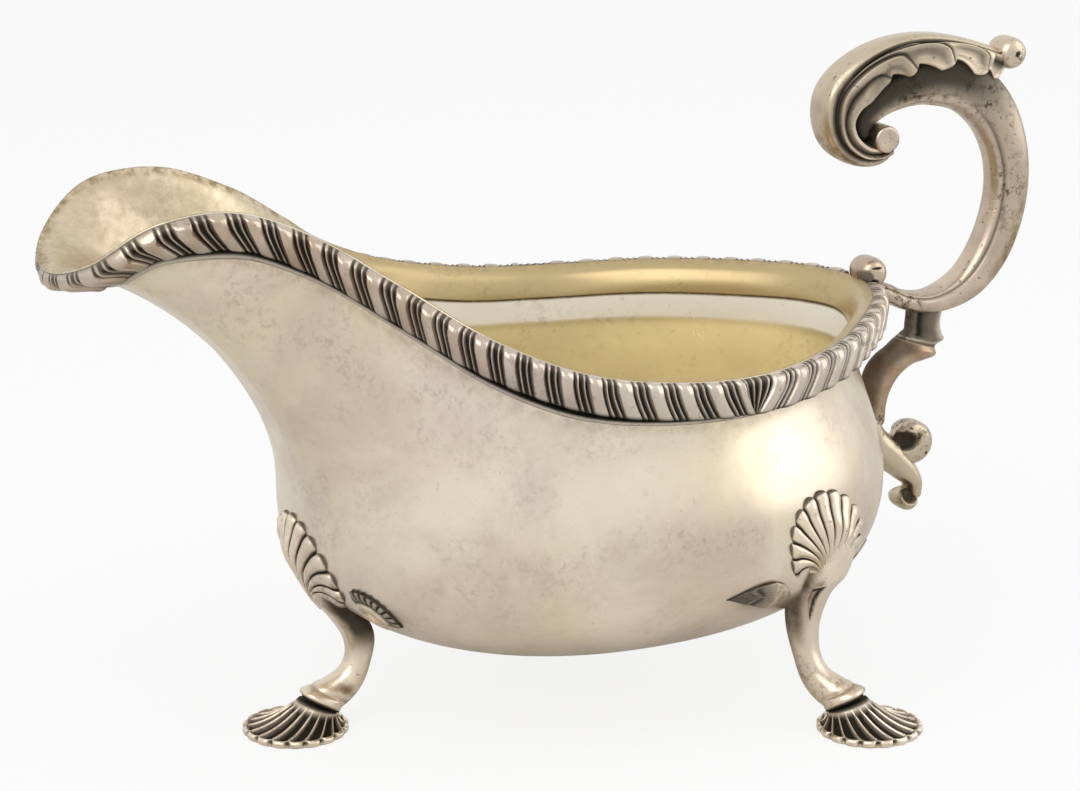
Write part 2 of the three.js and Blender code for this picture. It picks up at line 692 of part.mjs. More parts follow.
const mirroredSpots = (spots) => spots.map(([degrees, z]) => [-degrees, z]);
const frontFan = [[-169, 31.5], [-152, 28.8]];
const foreFan = [[-55, 28.5], [-80, 32]];
const backFan = [[-37, 27], [-20, 27.5]];
const legs = [
  ["front", frontPlace, frontPlace, { right: frontFan, left: mirroredSpots(frontFan) }],
  ["rear_right", rearNear, rearShellNear, { back: backFan, fore: foreFan }],
  ["rear_left", mirrored(rearNear), mirrored(rearShellNear),
    { back: mirroredSpots(backFan), fore: mirroredSpots(foreFan) }],
];
for (const [label, place, shellPlace, fanSpots] of legs) {
  const shellCut = solidOf(kneeShell(shellPlace, seatGap));
  const legCut = solidOf(leg(place, seatGap));
  const footCut = solidOf(footShell(place, seatGap));
  add(`leg_${label}`, trimmed(leg(place), keepOut, shellCut, footCut), wornSilver);
  add(`knee_shell_${label}`, trimmed(kneeShell(shellPlace), keepOut), wornSilver);
  add(`foot_shell_${label}`, footShell(place), wornSilver);
  for (const [hand, [root, tip]] of Object.entries(fanSpots)) {
    add(`wing_fan_${label}_${hand}`, trimmed(wingFan(root, tip), keepOut, shellCut, legCut), wornSilver);
  }
}

// Stand the whole boat over the origin.
const reach = new THREE.Box3().setFromObject(boat);
boat.position.x = -(reach.min.x + reach.max.x) / 2;

export default boat;
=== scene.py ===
# %% [markdown]
# # An old silver sauce boat
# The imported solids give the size, the names and the places. This file dresses them: every solid is
# replaced by a finer piece that is worked from the same driving sizes, then given aged silver.
# Sizes are in millimetres in the part's own frame until `metres` puts them on the table.

# %% Start
import json
import math

import bpy
import numpy as np
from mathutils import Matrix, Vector

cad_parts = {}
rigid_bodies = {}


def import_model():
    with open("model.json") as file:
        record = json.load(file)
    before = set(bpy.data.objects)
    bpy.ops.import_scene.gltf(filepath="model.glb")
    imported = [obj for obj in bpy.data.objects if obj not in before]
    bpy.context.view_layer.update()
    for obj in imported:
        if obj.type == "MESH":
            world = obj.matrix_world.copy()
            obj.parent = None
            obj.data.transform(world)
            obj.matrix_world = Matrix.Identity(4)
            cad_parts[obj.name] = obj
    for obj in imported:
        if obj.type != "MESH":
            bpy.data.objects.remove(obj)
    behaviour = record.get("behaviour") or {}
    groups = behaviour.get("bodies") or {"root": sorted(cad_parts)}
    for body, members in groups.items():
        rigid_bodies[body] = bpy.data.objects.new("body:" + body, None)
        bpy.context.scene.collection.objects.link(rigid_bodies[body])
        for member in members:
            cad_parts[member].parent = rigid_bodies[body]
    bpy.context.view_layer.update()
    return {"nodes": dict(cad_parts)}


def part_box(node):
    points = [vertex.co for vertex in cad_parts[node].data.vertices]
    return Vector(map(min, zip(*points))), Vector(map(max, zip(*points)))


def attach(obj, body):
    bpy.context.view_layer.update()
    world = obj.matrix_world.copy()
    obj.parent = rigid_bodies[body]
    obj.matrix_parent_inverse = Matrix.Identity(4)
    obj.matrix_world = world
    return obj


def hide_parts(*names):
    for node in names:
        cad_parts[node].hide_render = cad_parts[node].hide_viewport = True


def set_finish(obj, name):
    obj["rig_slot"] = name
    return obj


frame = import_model()
top_curl_centre = sum(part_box("handle_top_curl"), Vector()) / 2
top_curl_x = 104.6
shift = 1000 * top_curl_centre.x - top_curl_x
print("solids:", len(frame["nodes"]), " shift along X:", round(shift, 3), "mm")

# %% [markdown]
# ## Driving sizes
# The same sizes as the solids have, so that each piece sits where its solid sits.

# %% Driving sizes
wall, rim_edge, seat_gap = 1.1, 0.35, 0.3
rim_back_x, rim_back_z = 71, 78.3
lip_tip_x, lip_tip_z, lip_half_width, lip_crown_z = -99, 97, 21.7, 109.5
bowl_half_width, rim_low_z = 49.4, 75.2
belly_z, belly_middle_x, belly_front, belly_back, belly_half_width = 45, 8, 60, 62.5, 50.5
floor_z, belly_blunt, belly_turn = 14.2, 2.15, 2.5
lip_flare, side_flare, back_flare = 52, 17, 30
gadroon_width, lip_gadroon_width, gadroon_height = 6.3, 7.4, 3.1
wire_radius, wire_drop = 0.75, 1.6
handle_root_x = 72
arm_half_width, leaf_half_width, bracket_half_width = 4, 5.2, 3.4
foot_radius, foot_ribs = 10, 18
knee_shell_height = 19.6
print("from the lip to the back of the rim:", rim_back_x - lip_tip_x, "mm")

# %% [markdown]
# ## Small helpers for shapes
# `fade` and `bump` are soft bumps, `smooth` is a soft step, `highest` lays masks over each other, and
# `through` runs a smooth curve through named places.

# %% Small helpers for shapes
def fade(q):
    q = np.minimum(np.abs(q), 1)
    return (1 - q * q) ** 2


def smooth(low, high, x):
    q = np.clip((x - low) / (high - low), 0, 1)
    return q * q * (3 - 2 * q)


def bump(x, width):
    return np.exp(-((x / width) ** 2))


def highest(*masks):
    top = masks[0]
    for mask in masks[1:]:
        top = np.maximum(top, mask)
    return top


def signed_power(a, p):
    return np.sign(a) * np.abs(a) ** p


def unit(a):
    return a / np.maximum(np.linalg.norm(a, axis=-1, keepdims=True), 1e-12)


def through(points, t, closed=False, dims=3):
    p = np.asarray(points, float)
    n = len(p)
    spans = n if closed else n - 1
    t = np.asarray(t, float)
    x = (t % 1.0 if closed else np.clip(t, 0, 1)) * spans
    i = np.minimum(np.floor(x).astype(int), spans - 1)
    w = (x - i)[..., None]

    def at(j):
        if closed:
            return p[j % n]
        q = p[np.clip(j, 0, n - 1)].copy()
        q[j < 0] = 2 * p[0] - p[1]
        q[j > n - 1] = 2 * p[-1] - p[-2]
        return q

    def knot(a, b):
        return np.maximum(np.linalg.norm((b - a)[..., :dims], axis=-1), 1e-9)[..., None] ** 0.5

    a, b, c, d = at(i - 1), at(i), at(i + 1), at(i + 2)
    d0, d1, d2 = knot(a, b), knot(b, c), knot(c, d)
    m1 = ((b - a) / d0 - (c - a) / (d0 + d1) + (c - b) / d1) * d1
    m2 = ((c - b) / d1 - (d - b) / (d1 + d2) + (d - c) / d2) * d1
    w2, w3 = w * w, w**3
    return b * (2 * w3 - 3 * w2 + 1) + m1 * (w3 - 2 * w2 + w) + c * (3 * w2 - 2 * w3) + m2 * (w3 - w2)


print("a soft step at a quarter:", smooth(0, 1, 0.25))

# %% [markdown]
# ## From rings to a piece
# `skin` adds a flat grid and moves its vertices on to a worked-out surface. Its seam is then merged and
# the normals are turned out. Each mask, such as `recess`, is kept as an attribute that the silver reads.
# `capped` closes a bar by a low dome of a few more rings; a mask's end rows carry on over those.

# %% From rings to a piece
cap_steps = ((0.92, 0.25), (0.7, 0.5), (0.35, 0.62), (0.0, 0.66))
merge_distance = 2e-6


def metres(points):
    return (points + np.array([shift, 0, 0])) / 1000


def spread(values, rows, columns):
    """A mask for every vertex; where it has fewer rows than the rings, its end rows are repeated."""
    values = np.broadcast_to(values, (rows if np.ndim(values) < 2 else len(values), columns))
    before = min(rows - len(values), len(cap_steps))
    return np.pad(values, ((before, rows - len(values) - before), (0, 0)), mode="edge").astype(float)


def skin(name, rings, slot, replaced, **masks):
    rows, columns = rings.shape[:2]
    bpy.ops.object.select_all(action="DESELECT")
    bpy.ops.mesh.primitive_grid_add(x_subdivisions=columns - 1, y_subdivisions=rows - 1, size=0.1)
    piece = bpy.context.object
    piece.name = piece.data.name = name
    piece.data.vertices.foreach_set("co", metres(rings).ravel())
    for mask, values in masks.items():
        layer = piece.data.attributes.new(mask, "FLOAT", "POINT")
        layer.data.foreach_set("value", spread(values, rows, columns).ravel())
    bpy.ops.object.mode_set(mode="EDIT")
    bpy.ops.mesh.select_all(action="SELECT")
    bpy.ops.mesh.remove_doubles(threshold=merge_distance)
    bpy.ops.mesh.normals_make_consistent(inside=False)
    bpy.ops.object.mode_set(mode="OBJECT")
    bpy.ops.object.shade_smooth()
    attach(piece, "root")
    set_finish(piece, slot)
    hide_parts(*replaced)
    return piece


def capped(rings, both=True):
    """Rings closed at both ends, or at the first only; a step is (share of the ring, share of its reach)."""
    def cap(ring, beyond):
        middle = ring[:-1].mean(axis=0)
        reach = np.linalg.norm(ring - middle, axis=1).min()
        out = unit(middle - beyond[:-1].mean(axis=0)) * reach
        return [middle + (ring - middle) * share + out * rise for share, rise in cap_steps]

    last = cap(rings[-1], rings[-2]) if both else []
    return np.array(cap(rings[0], rings[1])[::-1] + list(rings) + last)


print("rings in a cap:", len(cap_steps))

# %% [markdown]
# ## The rim line and the bowl's outside
# A closed curve runs round the rim. A share `s` of its length and a level `v`, from the rim at 0 by the
# belly at 1 to the middle of the floor at 2, give any place on the outside.

# %% The rim line and the bowl's outside
rim_half = np.array([
    [lip_tip_x, 0, lip_tip_z],
    [lip_tip_x + 4, 0.68 * lip_half_width, lip_tip_z + 3.6],
    [lip_tip_x + 14.5, 0.97 * lip_half_width, lip_crown_z - 1.3],
    [lip_tip_x + 29, lip_half_width, lip_crown_z],
    [lip_tip_x + 43, lip_half_width + 0.8, lip_crown_z - 5.2],
    [lip_tip_x + 57, lip_half_width + 9.2, lip_crown_z - 14.2],
    [lip_tip_x + 70, 0.87 * bowl_half_width, rim_low_z + 11.4],
    [lip_tip_x + 86, 0.99 * bowl_half_width, rim_low_z + 4.6],
    [6, bowl_half_width, rim_low_z + 0.9],
    [rim_back_x - 46.5, 0.965 * bowl_half_width, rim_low_z],
    [rim_back_x - 28.5, 0.8 * bowl_half_width, rim_low_z + 1.1],
    [rim_back_x - 13.5, 0.52 * bowl_half_width, rim_back_z - 0.8],
    [rim_back_x - 3.6, 0.25 * bowl_half_width, rim_back_z - 0.1],
    [rim_back_x, 0, rim_back_z],
])
rim_round = np.vstack([rim_half, rim_half[1:-1][::-1] * [1, -1, 1]])
rim_line = through(rim_round, np.linspace(0, 1, 12001), closed=True)
rim_walk = np.concatenate([[0], np.cumsum(np.linalg.norm(np.diff(rim_line, axis=0), axis=1))])
rim_length = rim_walk[-1]


def rim_at(s):
    d = (np.asarray(s, float) % 1.0) * rim_length
    return np.stack([np.interp(d, rim_walk, rim_line[:, k]) for k in range(3)], axis=-1)


def rim_tangent(s):
    return unit(rim_at(s + 0.0008) - rim_at(s - 0.0008))


def rim_inward(s):
    t = rim_tangent(s)
    return unit(np.stack([t[..., 1], -t[..., 0], 0 * t[..., 0]], axis=-1))


def backness(s):
    return 1 - np.abs(2 * (s % 1.0) - 1)


def belly_point(s):
    k = backness(s)
    side = np.where(s % 1.0 < 0.5, 1.0, -1.0)
    angle = np.pi * k * (0.2 + 0.8 * k)
    along = signed_power(np.cos(angle), 2 / belly_blunt)
    across = signed_power(np.sin(angle), 2 / belly_blunt)
    reach = np.where(along > 0, belly_front, belly_back)
    return np.stack([belly_middle_x - along * reach, side * across * belly_half_width,
                     belly_z + 0 * along], axis=-1)


def outside(s, v):
    s, v = np.broadcast_arrays(np.asarray(s, float), np.asarray(v, float))
    belly = belly_point(s)
    turn = np.clip(v - 1, 0, 1) * np.pi / 2
    spread = np.clip(np.cos(turn), 0, 1) ** (2 / belly_turn)
    drop = np.clip(np.sin(turn), 0, 1) ** (2 / belly_turn)
    low = np.stack([belly_middle_x + (belly[..., 0] - belly_middle_x) * spread, belly[..., 1] * spread,
                    belly_z - (belly_z - floor_z) * drop], axis=-1)
    k = backness(s)
    rim = rim_at(s)
    rise = rim[..., 2] - belly_z
    tip = fade(k / 0.2)
    back = fade((1 - k) / 0.45)
    flare = side_flare + (lip_flare - side_flare) * tip + (back_flare - side_flare) * back
    up = np.array([0, 0, 1.0])
    start = rim_inward(s) * flare[..., None] - (rise * (0.62 - 0.56 * tip))[..., None] * up
    end = -(rise * (1.15 + 0.4 * tip))[..., None] * up
    q = np.minimum(v, 1)[..., None]
    high = (rim * (2 * q**3 - 3 * q**2 + 1) + start * (q**3 - 2 * q**2 + q)
            + belly * (3 * q**2 - 2 * q**3) + end * (q**3 - q**2))
    return np.where((v > 1)[..., None], low, high)


def outward(s, v):
    s, v = np.broadcast_arrays(np.asarray(s, float), np.asarray(v, float))
    ds = outside(s + 0.003, v) - outside(s - 0.003, v)
    dv = outside(s, np.minimum(1.97, v + 0.012)) - outside(s, np.minimum(1.97, v) - 0.012)
    return unit(np.cross(ds, dv))


print("rim length:", round(rim_length, 1), "mm")

# %% [markdown]
# ## Distances down the wall
# The border hangs from the rim, so its places are a distance down the wall and a height off it.

# %% Distances down the wall
wall_steps = 1024
wall_levels = np.linspace(0, 0.8, 161)
wall_rows = outside(np.linspace(0, 1, wall_steps + 1)[:, None], wall_levels[None, :])
wall_walk = np.concatenate([np.zeros((wall_steps + 1, 1)),
                            np.cumsum(np.linalg.norm(np.diff(wall_rows, axis=1), axis=2), axis=1)], axis=1)
depth_step = 0.1
wall_depths = np.arange(0, 22, depth_step)
level_at_depth = np.array([np.interp(wall_depths, row, wall_levels) for row in wall_walk])


def wall_level(s, depth):
    s, depth = np.broadcast_arrays(s % 1.0, depth)
    x = s * wall_steps
    i = np.minimum(np.floor(x).astype(int), wall_steps - 1)
    y = np.clip(depth / depth_step, 0, len(wall_depths) - 1.001)
    j = np.floor(y).astype(int)
    a, b = x - i, y - j
    t = level_at_depth
    here, onward = (1 - b) * t[i, j] + b * t[i, j + 1], (1 - b) * t[i + 1, j] + b * t[i + 1, j + 1]
    return (1 - a) * here + a * onward + np.minimum(depth, 0) * 0.012


def off_wall(s, depth, height):
    level = wall_level(s, depth)
    return outside(s, level) + outward(s, level) * (seat_gap + height)[..., None]


def off_rim(s, depth, height):
    level = -rim_inward(s)
    down = unit(np.cross(level, rim_tangent(s)))
    down = np.where(down[..., 2:] > 0, -down, down)
    return rim_at(s) + down * depth[..., None] + level * (seat_gap + height)[..., None]


def band_width(s):
    return gadroon_width + (lip_gadroon_width - gadroon_width) * fade(backness(s) / 0.5)


def hanging(s):
    return 1 - fade(backness(s) / 0.62)


def on_band(s, depth, height):
    s, depth, height = np.broadcast_arrays(s, depth, height)
    on_the_wall = off_wall(s, depth, height)
    return on_the_wall + (off_rim(s, 1.05 * depth, height) - on_the_wall) * hanging(s)[..., None]


print("wall levels:", level_at_depth.shape)

# %% [markdown]
# ## Bowl: the skin
# One closed skin: the outside from the middle of the floor up to the rim, then the inside back down.
# Inside, a soldered collar stands a little proud and ends in a sharp step at `collar_depth`.

# %% Bowl: the skin
collar_depth, collar_step, shoulder_depth = 7.3, 0.4, 15.0
bowl_columns = 360
around = np.linspace(0, 1, bowl_columns + 1)[None, :]
outer_levels = np.concatenate([np.linspace(2, 1, 34)[:-1], np.linspace(1, 0.3, 26)[:-1],
                               np.linspace(0.3, 0, 24)])[:, None]
# the inside starts at named depths, so that the step is sharp, and goes on by levels
top_depths = np.array([0, 0.25, 0.6, 1.2, 2, 3, 4, 5, 6, 6.7, 7.05, 7.2, 7.3, 7.34, 7.5, 7.7, 8, 8.6, 9.4,
                       10.5])
top_depths = top_depths[:, None] + 0 * around
inner_top = wall_level(around + 0 * top_depths, top_depths)
wall_shares = np.linspace(0, 1, 30)[1:, None]
floor_levels = np.linspace(1, 2, 34)[1:, None] + 0 * around
inner_levels = np.concatenate([inner_top, inner_top[-1:] + (1 - inner_top[-1:]) * wall_shares, floor_levels])
inner_depths = np.concatenate([top_depths, 10.5 + 30 * wall_shares + 0 * around, 40.5 + 0 * floor_levels])
step_here = smooth(0.28, 0.4, backness(around))
thickness = rim_edge * wall + (wall - rim_edge * wall) * smooth(0, 3, inner_depths)
thickness = thickness - collar_step * step_here * (
    smooth(collar_depth, collar_depth + 0.06, inner_depths) * (1 - smooth(12, 26, inner_depths)))
outer = outside(around, outer_levels)
inner = outside(around, inner_levels) - outward(around, inner_levels) * thickness[..., None]
outer_walk = np.cumsum(np.linalg.norm(np.diff(outer[::-1], axis=0), axis=-1), axis=0)
outer[0] = [belly_middle_x, 0, floor_z]
inner[-1] = [belly_middle_x, 0, floor_z + wall]
bowl_rings = np.concatenate([outer, inner])
print("bowl rings:", bowl_rings.shape[:2])

# %% [markdown]
# ## Bowl: gilding, grime, painted highlight and shade
# The inside is gilt: deep gold on the floor, worn at the lip. On the shoulder below the collar the gilt gives
# way to pale silver, a painted highlight. Grime lies at the edge and on the outside under the border, painted
# shade lies in the step of the collar, and the inside of the spout is made darker.

# %% Bowl: gilding, grime, painted highlight and shade
is_inside = np.concatenate([0 * outer[..., 0], 1 + 0 * inner[..., 0]])
depth = np.concatenate([0 * outer[..., 0] + 20, inner_depths])
outside_depth = np.concatenate([outer_walk[::-1], 0 * outer_walk[:1], 99 + 0 * inner_depths])
past_spout = smooth(-50, -32, bowl_rings[..., 0])
shoulder = (smooth(collar_depth + 0.1, collar_depth + 0.5, depth)
            * smooth(shoulder_depth, shoulder_depth - 0.8, depth))
# painted shade in the step of the collar, laid as near black and as brown
step_shade = 0.7 * is_inside * step_here * fade((depth - collar_depth - 0.2) / 0.5)
edge_grime = is_inside * smooth(2.2, 0.3, depth) * (1 - 0.6 * past_spout)
# the inside of the spout is made darker, through the brown mask
lip_grime = 0.3 * is_inside * (1 - past_spout)
under_border = 0.4 * (1 - is_inside) * fade((outside_depth - 10.5) / 2.6)
bowl = skin(
    "bowl_body", bowl_rings, "bowl_silver", ["bowl"], recess=step_shade,
    # the shoulder below the collar is left ungilt and lightened to pale silver: a painted highlight
    gilt=is_inside * (past_spout * (1 - 0.95 * shoulder) + 0.35 * (1 - past_spout)),
    pale=is_inside * shoulder * past_spout,
    deep=is_inside * smooth(shoulder_depth - 2, shoulder_depth + 2, depth),
    dirt=np.clip(edge_grime + under_border + 1.2 * step_shade + lip_grime, 0, 1))
print("bowl:", len(bowl.data.polygons), "faces")

# %% [markdown]
# ## Gadrooned border: the pattern
# Each lobe is a wide swirl, then three cut grooves with two thin ridges between. `lobe_places` says how
# far along the rim the lobes fall: they are wider at the lip. At the join the front and rear strips
# lean together in a V, and the wedge between them is filled by thin ridges that run to its point.

# %% Gadrooned border: the pattern
lobe_phase = [-3.5, -0.55, 5.45, 8.45, 10.45, 16.45, 20.45, 21.245]
lobe_places = [0.2, 20.3, 60.6, 79.5, 91.0, 122.7, 147.4, 151.5]
join_place, rear_pitch = 151.7, 6.1
root_clear = arm_half_width + 2 * seat_gap
slant_share, per_lobe, wedge_share = 0.585, 30, 0.02
# share of the pitch, and how high the metal is left there
relief_at = [0, 0.02, 0.07, 0.245, 0.42, 0.47, 0.49, 0.52, 0.555, 0.575, 0.60, 0.645, 0.67, 0.70, 0.79, 0.815,
             0.845, 0.875, 0.90, 0.93, 0.97, 1.0]
relief_is = [0.45, 0.62, 0.85, 1.0, 0.85, 0.62, 0.35, 0.06, 0.06, 0.3, 0.6, 0.6, 0.3, 0.02, 0.02, 0.28,
             0.56, 0.56, 0.25, 0.03, 0.1, 0.45]
wedge_at = [0, 0.1, 0.2, 0.3, 0.4, 0.55, 0.66, 0.78, 0.88, 1.0]
wedge_is = [0.4, 0.05, 0.3, 0.55, 0.15, 0.02, 0.2, 0.5, 0.35, 0.05]
# rows from the rim's edge down, and how full the strip is on each
band_rows = np.array([0, 0.015, 0.04, 0.07, 0.11, 0.15, 0.19, 0.23, 0.28, 0.34, 0.41, 0.48, 0.55, 0.62, 0.69,
                      0.76, 0.83, 0.89, 0.94, 0.975, 1.0])
upper_swell = (1 - (1 - band_rows / 0.24) ** 2.1).clip(0) ** 0.5
lower_swell = 1 - 0.22 * smooth(0.24, 0.95, band_rows)
foot_swell = np.where(band_rows > 0.9, 1 - 0.5 * ((band_rows - 0.9) / 0.1) ** 2, 1)
swell = 0.22 + 0.78 * np.where(band_rows < 0.24, upper_swell, lower_swell) * foot_swell
print("steps across the border:", len(band_rows))

# %% [markdown]
# ## Gadrooned border: one strip
# A strip is worked along its lobes and down its rows, then closed round its back and at both ends.

# %% Gadrooned border: one strip
def lobes_and_wedge(first, last, wedge_first):
    """Phase, relief and share of the slant along a strip; the wedge of ridges lies at one of its ends."""
    phase = np.linspace(first, last, int(round((last - first) * per_lobe)) + 1)
    wedge = np.linspace(0, 1, 29)[1:]
    body, lean = np.interp(phase % 1.0, relief_at, relief_is), np.ones_like(phase)
    ridges = np.interp(wedge, wedge_at, wedge_is)
    if wedge_first:
        return (np.concatenate([first - wedge_share * wedge[::-1], phase]),
                np.concatenate([ridges[::-1], body]), np.concatenate([1 - wedge[::-1], lean]))
    return (np.concatenate([phase, last + wedge_share * wedge]),
            np.concatenate([body, ridges]), np.concatenate([lean, 1 - wedge]))


def strip(name, cad_node, side, ranges, wedge_first, lean, to_distance):
    """`ranges` is (first, last) in lobes, and `to_distance` turns lobes into a walk along the rim."""
    phase, body, slant = lobes_and_wedge(*ranges, wedge_first)
    rows = band_rows[:, None]
    place = phase + lean * slant_share * (rows**1.35 - 1) * slant
    s = side * to_distance(place) / rim_length
    relief = body + 0 * s
    top = smooth(0.2, 0.0, rows) + 0 * s
    height = gadroon_height * swell[:, None] * (1 - 0.56 * (1 - relief) * (1 - 0.3 * top))
    nose = 0.55 * relief * fade((rows - 0.1) / 0.2)
    face = on_band(s, 0.1 + rows * (band_width(s) - 0.1) - nose - 0.3 * top, height)
    grooves = smooth(0.55, 0.25, relief) * (1 - 0.15 * top)
    # the foot row is near black: painted shade and oxide in the line between the lobes and the wire
    foot = 0.95 * smooth(0.84, 0.99, rows)
    near_lip = smooth(0.62, 0.3, backness(s))
    # the lower part of each lobe is darkened as a painted shadow
    lower = (0.1 + 0.2 * near_lip) * smooth(0.35, 0.9, rows)
    back_s = s[[-1, len(rows) // 2, 0]]
    back = off_wall(back_s, np.array([[1.0], [0.5], [0.02]]) * band_width(back_s), -0.45 + 0 * back_s)

    def round_the_back(values, behind):
        values = np.concatenate([values, behind + 0 * back_s, values[:1]])
        return np.pad(values, ((0, 0), (1, 1)), mode="edge")

    ring = np.concatenate([face, back, face[:1]])
    middle = ring[:-1].mean(axis=0)
    ends = [np.repeat(middle[None, end], len(ring), axis=0) for end in (slice(0, 1), slice(-1, None))]
    return skin(name, np.concatenate([ends[0], ring, ends[1]], axis=1), "border_silver", [cad_node],
                recess=round_the_back(highest(grooves, foot, lower), 0.5),
                # towards the lip the lobes are made darker and pinker
                copper=round_the_back(0.75 * near_lip * (1 - 0.5 * top), 0.0))


print("a strip is closed by 3 rows behind and by its ends")

# %% [markdown]
# ## Gadrooned border: four strips
# Two strips run from the lip to the join, and two from there to the handle. Each pair is mirrored.

# %% Gadrooned border: four strips
def front_distance(phase):
    return np.interp(phase, lobe_phase, lobe_places)


def rear_distance(phase):
    return join_place + rear_pitch * (phase + wedge_share)


rear_lobes = (rim_length / 2 - root_clear - join_place) / rear_pitch
for label, side in (("left", 1), ("right", -1)):
    strip("gadroon_lobes_front_" + label, "gadroon_front_" + label, side, (-3.0, 21.22), False, 1,
          front_distance)
    strip("gadroon_lobes_rear_" + label, "gadroon_rear_" + label, side, (0.0, rear_lobes - 0.6), True, -1,
          rear_distance)
print("border strips: 4")

# %% [markdown]
# ## Plain wire under the border
# A half-round moulding; it is a wider, flatter fillet under the lip. Both its edges lie in shade.

# %% Plain wire under the border
wire_turn = np.linspace(0, 2 * np.pi, 17)
wire_shade = np.maximum(0.95 * smooth(0.0, -0.7, np.sin(wire_turn)),
                        0.75 * smooth(0.55, 0.95, np.sin(wire_turn)))
for label, side in (("left", 1), ("right", -1)):
    s = side * np.linspace(0.3 / rim_length, 0.5 - root_clear / rim_length, 420)
    below = band_width(s) + seat_gap + wire_radius + wire_drop * hanging(s)
    level = wall_level(s, below)
    centre, out = outside(s, level), outward(s, level)
    down = unit(outside(s, wall_level(s, below + wire_radius)) - centre)
    fillet = fade(backness(s) / 0.34)
    high = wire_radius * (1.25 - 0.2 * fillet)
    wide = wire_radius * (1.0 + 0.9 * fillet)
    centre = centre + 0.6 * out + down * (0.45 * fillet)[:, None]
    ring = (centre[:, None] + out[:, None] * (high[:, None] * np.cos(wire_turn))[..., None]
            + down[:, None] * (wide[:, None] * np.sin(wire_turn))[..., None])
    skin("wire_" + label, capped(ring), "border_silver", ["rim_wire_" + label], recess=wire_shade + 0.22)
print("wires: 2")

# %% [markdown]
# ## Bars along a line
# The castings of the handle are bars that swell and thin along stations. A station is (out, up, half
# thickness, share of the half width), measured in the handle's plane from the place where the arm lands.

# %% Bars along a line
def from_root(dx, dz):
    return np.array([handle_root_x + dx, 0, rim_back_z + dz])


def rounded(turn, blunt):
    return signed_power(np.cos(turn), 2 / blunt), signed_power(np.sin(turn), 2 / blunt)


def spine(stations, steps, half_width):
    """The line through the stations, and the direction across it in the handle's plane."""
    stations = [(dx, 0, dz, thick, share * half_width) for dx, dz, thick, share in stations]
    line = through(stations, np.linspace(0, 1, steps + 1))
    tangent = unit(np.gradient(line[:, :3], axis=0))
    return line, np.stack([-tangent[:, 2], 0 * tangent[:, 0], tangent[:, 0]], axis=-1)


def round_line(line, across, away, aside):
    """Rings that stand `away` across the line and `aside` of the handle's plane."""
    side = np.array([0, 1.0, 0])
    return line[:, None, :3] + from_root(0, 0) + across[:, None] * away[..., None] + side * aside[..., None]


print("the arm lands at", from_root(0, 0))

# %% [markdown]
# ## Handle: the arm
# A C-scroll with a flat face and a cut line along it. Under the leaf it is near black with painted shade,
# and it is crusted at its back.

# %% Handle: the arm
arm_stations = [
    (-1.6, 29.9, 1.3, 0.75), (-1.6, 31.6, 2.0, 0.78), (-0.4, 33.9, 2.7, 0.8), (2.9, 36.4, 3.3, 0.85),
    (8.5, 38.8, 4.2, 1), (14.9, 39.8, 5.3, 1), (22.4, 38.0, 5.5, 1), (28.8, 32.5, 5.2, 1),
    (32.5, 24.8, 4.7, 1), (33.5, 17.2, 4.4, 1), (32.4, 9.8, 4.3, 1), (29.5, 2.7, 4.1, 1),
    (24.8, -2.9, 3.5, 1), (19.8, -5.5, 2.8, 1), (14.6, -6.4, 2.2, 0.95),
    (9, -5.3, 1.9, 0.9), (5.5, -3.6, 1.9, 0.85), (0, -1.8, 1.9, 0.85)]
arm_section = np.array([(1.0, 0.0), (0.98, 0.45), (0.75, 0.85), (0.3, 1.0), (-0.35, 0.96), (-0.72, 0.78),
                        (-0.95, 0.4), (-1.0, 0.0)])
half_ring = through(np.column_stack([arm_section, 0 * arm_section[:, 0]]), np.linspace(0, 1, 29))[:, :2]
full_ring = np.concatenate([half_ring * [1, -1], half_ring[::-1][1:]])
from_outer = np.abs(np.linspace(0, 2, len(full_ring)) - 1)
cut_line = bump(from_outer - 0.36, 0.03)
line, across = spine(arm_stations, 180, arm_half_width)
arm = round_line(line, across, line[:, 3:4] * full_ring[:, 0] * (1 - 0.05 * cut_line),
                 line[:, 4:5] * full_ring[:, 1] * (1 - 0.12 * cut_line))
arm_share = np.linspace(0, 1, len(arm))[:, None]
# near black painted shade under the leaf and in the curl that it covers
under_leaf = smooth(0.47, 0.33, arm_share) * smooth(-0.85, 0.1, full_ring[:, 0])
in_curl = smooth(0.16, 0.08, arm_share)
crust = np.maximum(0.95 * fade((arm_share - 0.62) / 0.13), 0.5 * fade((arm_share - 0.8) / 0.12))
skin("handle_scroll_arm", capped(arm), "handle_silver", ["handle_arm"],
     recess=np.maximum(0.7 * cut_line * smooth(0.3, 0.45, arm_share), 0.93 * np.maximum(under_leaf, in_curl)),
     dirt=crust * smooth(-0.05, 0.5, full_ring[:, 0]))
print("arm rings:", len(arm))

# %% [markdown]
# ## Handle: how the leaf is carved
# Grooves start at the notches of the leaf's edge, bend towards its crown and then run side by side down
# to the roll. A notch is (where it starts, how long its groove bends, where the groove settles).

# %% Handle: how the leaf is carved
notches = [(0.925, 0.26, 0.36), (0.80, 0.34, 0.42), (0.668, 0.36, 0.56), (0.577, 0.28, 0.77)]
crown_far, crown_near = 0.24, 0.42
middle_lobe, end_lobe = 2.1, 1.3


